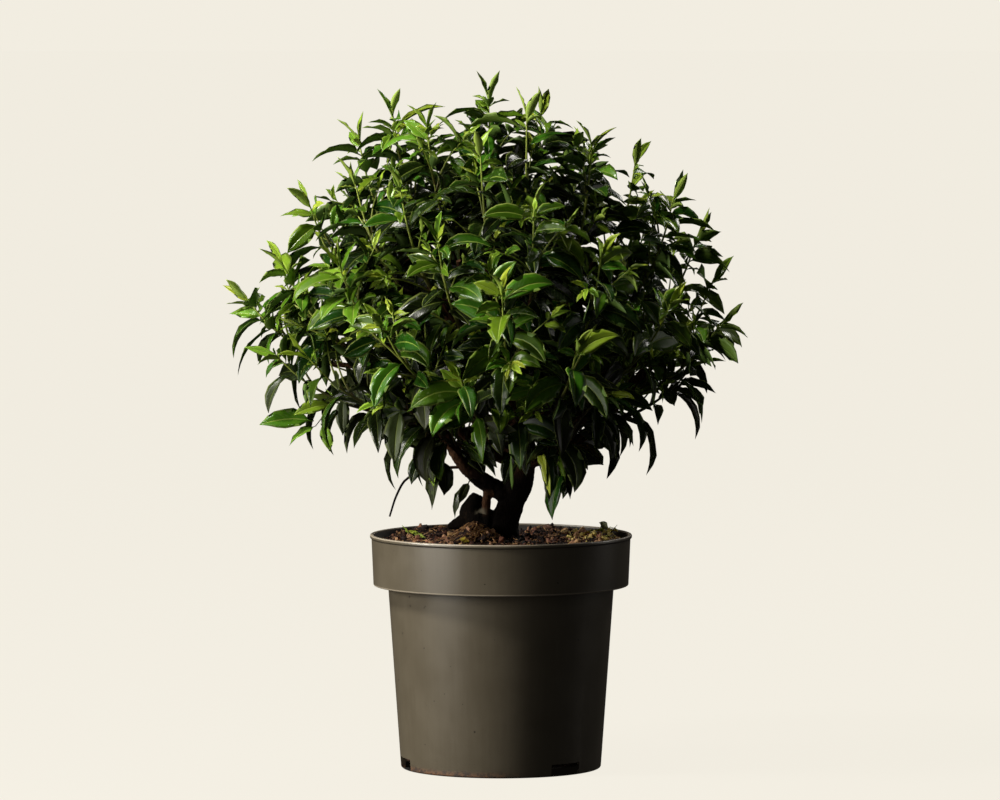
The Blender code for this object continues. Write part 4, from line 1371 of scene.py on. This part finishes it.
def tree_of_a_shoot():
    """The tree that grows stems along the plan's edges and bends a flat blade at each of its points."""
    tree = bpy.data.node_groups.new("Grow a leafy shoot", "GeometryNodeTree")
    given = inputs_of(tree, {
        "Plan": "Geometry", "Blade": "Object", "Stem sides": "Int", "Stalk thickness": "Float",
        "Edge wave": "Float", "Stem finish": "Material", "Leaf finish": "Material",
    })
    is_leaf = named(tree, "is_leaf", "BOOLEAN")
    plan = tree.nodes.new("GeometryNodeSeparateGeometry")
    tree.links.new(given["Plan"].socket, plan.inputs["Geometry"])
    tree.links.new(is_leaf.socket, plan.inputs["Selection"])
    leaf_points, stem_lines = Wire(plan.outputs[0]), Wire(plan.outputs[1])
    green_bars = swept(tree, stem_lines, given["Stem sides"])
    green_bars = node(tree, "GeometryNodeSetMaterial", None, {
        0: green_bars, "Material": given["Stem finish"]})
    blade_shape = node(tree, "GeometryNodeObjectInfo", None, {0: given["Blade"]}, 4)
    flat_leaves = node(tree, "GeometryNodeInstanceOnPoints", None, {
        "Points": leaf_points, "Instance": blade_shape})
    flat_leaves = node(tree, "GeometryNodeRealizeInstances", None, {0: flat_leaves})
    pattern = named(tree, "pattern", "FLOAT_VECTOR")
    across, share, thickness = pattern.part(0), pattern.part(1), pattern.part(2)
    aim, turn, face, root = (named(tree, name, "FLOAT_VECTOR") for name in LEAF_VECTORS)
    length, droop, half, fold, twist, wave = (named(tree, name) for name in LEAF_NUMBERS)
    angle = droop * share
    sine, cosine = angle.maths("SINE"), angle.maths("COSINE")
    arc = (aim * sine + turn * (1 - cosine)) * (length / droop)
    heading = aim * cosine + turn * sine
    level_side = heading.vector_maths("CROSS_PRODUCT", face).vector_maths("NORMALIZE")
    level_upper = level_side.vector_maths("CROSS_PRODUCT", heading)
    roll = twist * share
    roll_sine, roll_cosine = roll.maths("SINE"), roll.maths("COSINE")
    side = level_side * roll_cosine + level_upper * roll_sine
    upper = level_upper * roll_cosine - level_side * roll_sine
    outness = across.maths("ABSOLUTE")
    sag = (share * 15.0 + wave + across * 0.9).maths("SINE") * (across * across)
    height = (half * outness * fold.maths("TANGENT")
              + thickness * given["Stalk thickness"] + sag * given["Edge wave"])
    ragged = (share * 14.0 + wave * 3.0 + across * 1.4).maths("SINE") * 0.05 + 1.0
    bent = root + arc + side * (across * half * ragged) + upper * height
    leaves = node(tree, "GeometryNodeSetPosition", None, {0: flat_leaves, "Position": bent})
    leaves = node(tree, "GeometryNodeSetMaterial", None, {
        0: leaves, "Material": given["Leaf finish"]})
    join = tree.nodes.new("GeometryNodeJoinGeometry")
    tree.links.new(leaves.socket, join.inputs[0])
    tree.links.new(green_bars.socket, join.inputs[0])
    send_out(tree, Wire(join.outputs[0]))
    return tree


shoot_tree = tree_of_a_shoot()

stem_finish = Finish("green_stem")
stem_green = stem_finish.attribute("along").colours(
    (0.0, (0.090, 0.060, 0.020)),
    (0.30, (0.250, 0.280, 0.045)),
    (1.0, (0.380, 0.480, 0.070)),
)
aged = stem_finish.place().part(2).ramp(0.400, 0.350) * 0.9
stem_finish.wear(Base_Color=aged.blend(stem_green, OLD_STEM), Roughness=0.42)

leaf_finish = Finish("leaf")
blade_map = leaf_finish.add("ShaderNodeUVMap", {"uv_map": "blade"})
from_rib = blade_map.part(0).off(0.5) * 2.0
down_blade = blade_map.part(1)
rib = from_rib.ramp(0.02, 0.10, 1.0, 0.0)
# The leaf's own pale margin, painted brighter as a painted highlight where its edge catches the light
rim_and_highlight = from_rib.ramp(0.84, 0.94)
veins = (down_blade * 13.0 - from_rib * 2.4).maths("FRACT").off(0.5).ramp(0.06, 0.0)
veins = veins * from_rib.ramp(0.05, 0.2)
age, tone, hue = (leaf_finish.attribute(name) for name in ("age", "tone", "hue"))
underside = leaf_finish.attribute("sheet").ramp(0.0, -0.25)
leaf_place = leaf_finish.place()
mottle = leaf_finish.speckle(leaf_place, 140.0, 3.0)
# The greens go near black with the value, which holds real age and painted shade for leaves deep inside and
# low in the crown
green = (age + tone * 0.22 + (mottle - 0.5) * age * 0.4).colours(
    (0.0, (0.345, 0.460, 0.038)),
    (0.20, (0.180, 0.300, 0.020)),
    (0.40, (0.065, 0.156, 0.006)),
    (0.60, (0.018, 0.054, 0.003)),
    (0.80, (0.007, 0.017, 0.002)),
    (1.0, (0.006, 0.010, 0.002)),
)
green = leaf_finish.add("ShaderNodeHueSaturation", None, {
    "Hue": hue.ramp(-1.0, 1.0, 0.483, 0.528), "Saturation": 1.0, "Value": 1.0, "Fac": 1.0, "Color": green})
faded = age.ramp(0.40, 0.90, 1.0, 0.38)
green = (rib * faded * 0.66).blend(green, RIB_GREEN)
green = (rim_and_highlight * faded * 0.55).blend(green, RIM_AND_HIGHLIGHT_GREEN)
green = (veins * 0.14).blend(green, VEIN_GREEN)
pale = (age + tone * 0.15).colours(
    (0.0, (0.300, 0.420, 0.060)),
    (0.5, (0.095, 0.178, 0.025)),
    (1.0, (0.046, 0.076, 0.018)),
)
# Old leaves low in the crown, more at the left, turn dull olive; the dark olive is also painted shade under
# the crown
dull_and_shaded = leaf_place.part(2).ramp(0.405, 0.335) * age.ramp(0.20, 0.50) * tone.ramp(-0.6, 0.4)
dull_and_shaded = dull_and_shaded * leaf_place.part(0).ramp(0.0, -0.10, 0.40, 1.0)
leaf_finish.wear(
    Base_Color=(dull_and_shaded * 0.66).blend(underside.blend(green, pale), DULL_SHADED_GREEN),
    Roughness=underside.ramp(0.0, 1.0, 0.23, 0.58) + (mottle - 0.5) * 0.14 + dull_and_shaded * 0.25,
    Specular_IOR_Level=0.34,
)
leaf_finish.bump(veins * 0.35 - rib * 0.8 + mottle * 0.3, 0.0005, 0.6)

blade = object_from("blade", blade_pattern())
habit = random.Random(SEED + 9)


def age_and_shade_of(leaf):
    """Age of the leaf, which the ramp of greens reads, with painted shade added: the older ones sit low
    down, where they are also painted darker as shade under the crown, and those deep inside are painted
    darker as shade inside it.
    """
    # Low leaves are older, and are painted darker as painted shade under the crown as well
    low = max(0.0, LOW_BAND[0] - leaf.base.z) * 2.6 * leaf.age
    # Painted shade: leaves deep inside the crown are painted darker
    painted_depth_shade = max(0.0, 0.172 - (leaf.base - CROWN_CENTRE).length) * 7.0 if leaf.age > 0.2 else 0.0
    return leaf.age + low + painted_depth_shade + 0.26 * leaf.rolled


def plan_of(name, stem_list, leaf_list):
    """The stems as edges and the leaves as points, each with what the shoot's tree needs to know."""
    lines = []
    for shoot in stem_list:
        points, sizes = smooth_route(shoot.points, shoot.radii, 4)
        last = len(points) - 1
        lines.append((points, [size * (0.92 - 0.46 * k / last) for k, size in enumerate(sizes)]))
    mesh = line_mesh(name, lines)
    stem_count = len(mesh.vertices)
    for leaf in leaf_list:
        leaf.root = leaf.base - leaf.aim * ROOT_SINK
        leaf.half = leaf.half_width * (0.66 if leaf.age < 0.07 else 1 - 0.46 * leaf.rolled)
        leaf.fold += 0.40 * leaf.rolled
        leaf.age = age_and_shade_of(leaf)
    for key, low, high in HABITS:
        for leaf in leaf_list:
            drawn = habit.uniform(low, high)
            if not hasattr(leaf, key):
                setattr(leaf, key, drawn)
    mesh.vertices.add(len(leaf_list))
    roots = [tuple(vert.co) for vert in mesh.vertices[:stem_count]]
    roots += [tuple(leaf.base) for leaf in leaf_list]
    mesh.vertices.foreach_set("co", np.ravel(roots))
    flags = [False] * stem_count + [True] * len(leaf_list)
    mesh.attributes.new("is_leaf", "BOOLEAN", "POINT").data.foreach_set("value", flags)
    for key in LEAF_VECTORS:
        rows = [(0.0, 0.0, 0.0)] * stem_count + [tuple(getattr(leaf, key)) for leaf in leaf_list]
        mesh.attributes.new(key, "FLOAT_VECTOR", "POINT").data.foreach_set("vector", np.ravel(rows))
    for key in LEAF_NUMBERS + ("age", "tone", "hue"):
        rows = [0.0] * stem_count + [getattr(leaf, key) for leaf in leaf_list]
        mesh.attributes.new(key, "FLOAT", "POINT").data.foreach_set("value", rows)
    return mesh


def leafy_piece(name, slot, stem_list, leaf_list, blade_finish, *replaced):
    """Grows one piece from these stems and leaves, and drops the values that only its tree needed."""
    piece = object_from(name, plan_of(name, stem_list, leaf_list))
    apply_tree(piece, shoot_tree, {
        "Blade": blade, "Stem sides": STEM_SIDES, "Stalk thickness": STALK_THICKNESS,
        "Edge wave": EDGE_WAVE, "Stem finish": stem_finish.material, "Leaf finish": blade_finish.material,
    })
    for spare in (*LEAF_VECTORS, *LEAF_NUMBERS, "pattern", "radius", "is_leaf"):
        if spare in piece.data.attributes:
            piece.data.attributes.remove(piece.data.attributes[spare])
    settle(piece, slot, *replaced)


def leaves_of(stem_list):
    return [leaf for stem in stem_list for leaf in stem.leaves]


for shoot in shoots:
    family = [shoot] + shoot.sides
    grown = leaves_of(family)
    for leaf in grown:
        leaf.rolled = curled(leaf.base) if leaf.age > 0.2 else 0.0
    leafy_piece("leafy_" + shoot.name, "leaf", family, grown, leaf_finish, shoot.name)
leafy_piece("low_sprigs", "leaf", low_sprigs, leaves_of(low_sprigs), leaf_finish)
leafy_piece("old_leaves", "leaf", [], leaves_of(inner), leaf_finish)


# The litter on the compost
# Coir fibres drawn up round the base of the stems, fallen leaves and chips of bark, a green sprig
# that lies at the left, and a stray stalk at the right.

FIBRE_SEED = 21
FIBRE_COUNT = 420
FIBRE_THICKNESS = 0.00034
FIBRE_HEAP = (-0.020, -0.014, 0.016)  # right, away and spread of those at the stems
GREEN_SPRIG = ((-80, 30, 216), (-86, 31, 218), (-92, 32, 226))
STRAY_STALK = ((103, 12, 221), (107, 10, 226), (111, 8, 231))
# Base, tip, width over length, and colour from yellow (0) over green and grey-green to brown (1)
FALLEN = (
    ((-88, 31, 220), (-93, 32, 231), 0.24, 0.34), ((-90, 31, 224), (-73, 27, 221), 0.22, 0.26),
    ((-86, 30, 222), (-70, 22, 220), 0.24, 0.30), ((-86, 30, 221), (-80, 24, 225), 0.30, 0.28),
    ((-39, -46, 222), (-29, -48, 222), 0.62, 0.02), ((-50, -50, 218), (-52, -52, 229), 0.45, 0.94),
    ((103, 58, 222), (96, 55, 232), 0.70, 0.60), ((94, 30, 223), (83, 24, 227), 0.34, 0.16),
    ((112, 16, 224), (101, 8, 228), 0.36, 0.05), ((112, 24, 224), (104, 18, 231), 0.30, 0.20),
    ((88, 6, 223), (78, -2, 227), 0.34, 0.03), ((74, 16, 223), (82, 8, 228), 0.40, 0.94),
    ((100, 22, 223), (92, 14, 229), 0.36, 0.30), ((66, -4, 222), (58, -10, 226), 0.50, 0.97),
    ((78, 10, 222), (70, 4, 224), 0.40, 0.08), ((96, 8, 223), (90, 0, 226), 0.44, 0.88),
    ((58, -20, 220), (49, -26, 222), 0.46, 0.90), ((-96, 10, 219), (-104, 2, 221), 0.40, 0.92),
    ((-64, 20, 219), (-72, 12, 223), 0.42, 0.84), ((40, 74, 224), (50, 70, 226), 0.40, 0.80),
    ((104, -12, 222), (96, -20, 224), 0.30, 0.14),
)
strew = random.Random(FIBRE_SEED)

coir = Finish("coir")
coir.wear(
    Base_Color=coir.speckle(coir.place(), 300.0, 1.0).colours(
        (0.30, (0.060, 0.022, 0.012)),
        (0.50, (0.320, 0.160, 0.060)),
        (0.70, (0.540, 0.330, 0.130)),
    ),
    Roughness=0.9,
)
litter_finish = Finish("litter")
litter_finish.wear(
    Base_Color=litter_finish.attribute("tone").colours(
        (0.0, (0.620, 0.480, 0.045)),
        (0.22, (0.420, 0.480, 0.040)),
        (0.40, (0.130, 0.260, 0.020)),
        # The grey-green is painted lighter than the leaf is: painted light on the fallen leaf at the right,
        # which lies in the crown's shade
        (0.62, (0.360, 0.380, 0.220)),
        (0.80, (0.160, 0.075, 0.045)),
        (1.0, (0.330, 0.170, 0.100)),
    ),
    Roughness=0.55,
)


def loose_height(x, y):
    """Height of the compost with its loose top."""
    return soil_height(x, y) + loose_depth(x, y)


fibres = []
while len(fibres) < FIBRE_COUNT:
    at_stems = len(fibres) < FIBRE_COUNT * 0.55
    if at_stems:
        x = strew.gauss(FIBRE_HEAP[0], FIBRE_HEAP[2])
        y = strew.gauss(FIBRE_HEAP[1], FIBRE_HEAP[2])
    else:
        x, y = strew.uniform(-0.11, 0.11), strew.uniform(-0.11, 0.11)
    if math.hypot(x, y) > 0.112:
        continue
    bearing = math.atan2(y, x) + strew.gauss(0, 0.5) if at_stems else strew.uniform(0, 2 * math.pi)
    half_span = strew.uniform(0.004, 0.009) if at_stems else strew.uniform(0.003, 0.0075)
    curl = 0.22 if at_stems else 0.5
    points = []
    for step in (-1.0, -0.35, 0.35, 1.0):
        px = x + math.cos(bearing + step * curl) * half_span * step
        py = y + math.sin(bearing + step * curl) * half_span * step
        points.append(Vector((px, py, loose_height(px, py) + strew.uniform(0.0004, 0.0030))))
    fibres.append((points, [FIBRE_THICKNESS * strew.uniform(0.7, 1.5)] * 4))
coir_fibres = object_from("coir_fibres", line_mesh("coir_fibres", fibres))
apply_tree(coir_fibres, bar_tree, {"Sides": 4, "Finish": coir.material})
settle(coir_fibres, "compost")

litter = []
for leaf_base, leaf_tip, slenderness, colour in FALLEN:
    start = Vector(leaf_base) * 0.001
    way = Vector(leaf_tip) * 0.001 - start
    start.z = max(start.z, loose_height(start.x, start.y) + 0.0008)
    leaf = Leaf(start, way, Vector((-0.8, -0.5, 0.6)), way.length, 0.5, 0.25, slenderness, LEAF_SECTIONS)
    leaf.age = 0.2
    leaf.tone = colour
    litter.append(leaf)
loose_stems = [hand_placed("sprig", GREEN_SPRIG, 0.0009), hand_placed("stray_stalk", STRAY_STALK, 0.0007)]
leafy_piece("litter", "compost", loose_stems, litter, litter_finish)
bpy.data.objects.remove(blade)


# The studio
# A pale floor without an edge. The light comes from the left, from a tall soft box, one above the
# plant and a small panel low down, with hardly any at the right and behind, for deep shadows.

PALE = (0.887, 0.847, 0.753, 1)
CONTACT_SHADE = (0.002, 0.0016, 0.0012, 1)
# Name, place, where it points, width, height, power and colour
LAMPS = (
    ("left_soft_box", (-2.40, -0.70, 0.90), (0.0, 0.0, 0.22), 0.50, 0.9, 52, (1.0, 0.965, 0.89)),
    ("high_soft_box", (-1.58, -0.78, 2.34), (0.0, 0.0, 0.45), 0.45, 0.45, 73, (1.0, 0.965, 0.89)),
    ("low_panel", (-0.57, -0.44, 0.215), (0.0, 0.0, 0.14), 0.42, 0.41, 1.54, (1.0, 0.965, 0.90)),
    ("right_reflector", (2.2, 0.5, 0.7), (0.0, 0.0, 0.30), 0.9, 1.5, 3.4, (1.0, 0.96, 0.90)),
    ("back_soft_box", (1.35, 2.2, 1.7), (0.0, 0.0, 0.40), 0.8, 0.8, 18, (1.0, 0.97, 0.92)),
)
FILL = (1.0, 0.95, 0.88, 1)
FILL_STRENGTH = 0.016

bpy.ops.mesh.primitive_circle_add(vertices=128, radius=60, fill_type="NGON")
floor = bpy.context.object
floor.name = "floor"
floor_finish = Finish("pale_floor")
beside_pot = floor_finish.place().from_axis().ramp(0.0935, 0.0950)
floor_finish.wear(
    Base_Color=(0.02, 0.02, 0.02, 1),
    Roughness=1.0,
    Specular_IOR_Level=0.0,
    Emission_Color=beside_pot.blend(CONTACT_SHADE, PALE),
    Emission_Strength=0.99,
)
floor.data.materials.append(floor_finish.material)
floor.visible_diffuse = False
floor.visible_glossy = False

for name, place, target, width, height, power, colour in LAMPS:
    lamp = bpy.data.lights.new(name, "AREA")
    lamp.shape = "RECTANGLE"
    lamp.size = width
    lamp.size_y = height
    lamp.energy = power
    lamp.color = colour
    holder = object_from(name, lamp)
    holder.location = place
    holder.rotation_euler = (Vector(target) - Vector(place)).to_track_quat("-Z", "Y").to_euler()

world = bpy.data.worlds.new("studio")
world.use_nodes = True
bpy.context.scene.world = world
seen = node(world.node_tree, "ShaderNodeBackground", None, {0: PALE, 1: 1.0})
fill = node(world.node_tree, "ShaderNodeBackground", None, {0: FILL, 1: FILL_STRENGTH})
by_camera = node(world.node_tree, "ShaderNodeLightPath")
sky = node(world.node_tree, "ShaderNodeMixShader", None, {0: by_camera, 1: fill, 2: seen})
world.node_tree.links.new(sky.socket, world.node_tree.nodes["World Output"].inputs[0])
bpy.context.scene.view_settings.view_transform = "Standard"

camera_data = bpy.data.cameras.new("camera")
camera_data.lens = 234
camera_data.sensor_width = 36
camera_data.clip_end = 200
camera = object_from("camera", camera_data)
camera.location = (POT_AXIS.x - 0.00095, POT_AXIS.y - 6.18, 0.754)
camera.rotation_euler = (math.radians(90 - 3.73), 0, 0)
bpy.context.scene.camera = camera
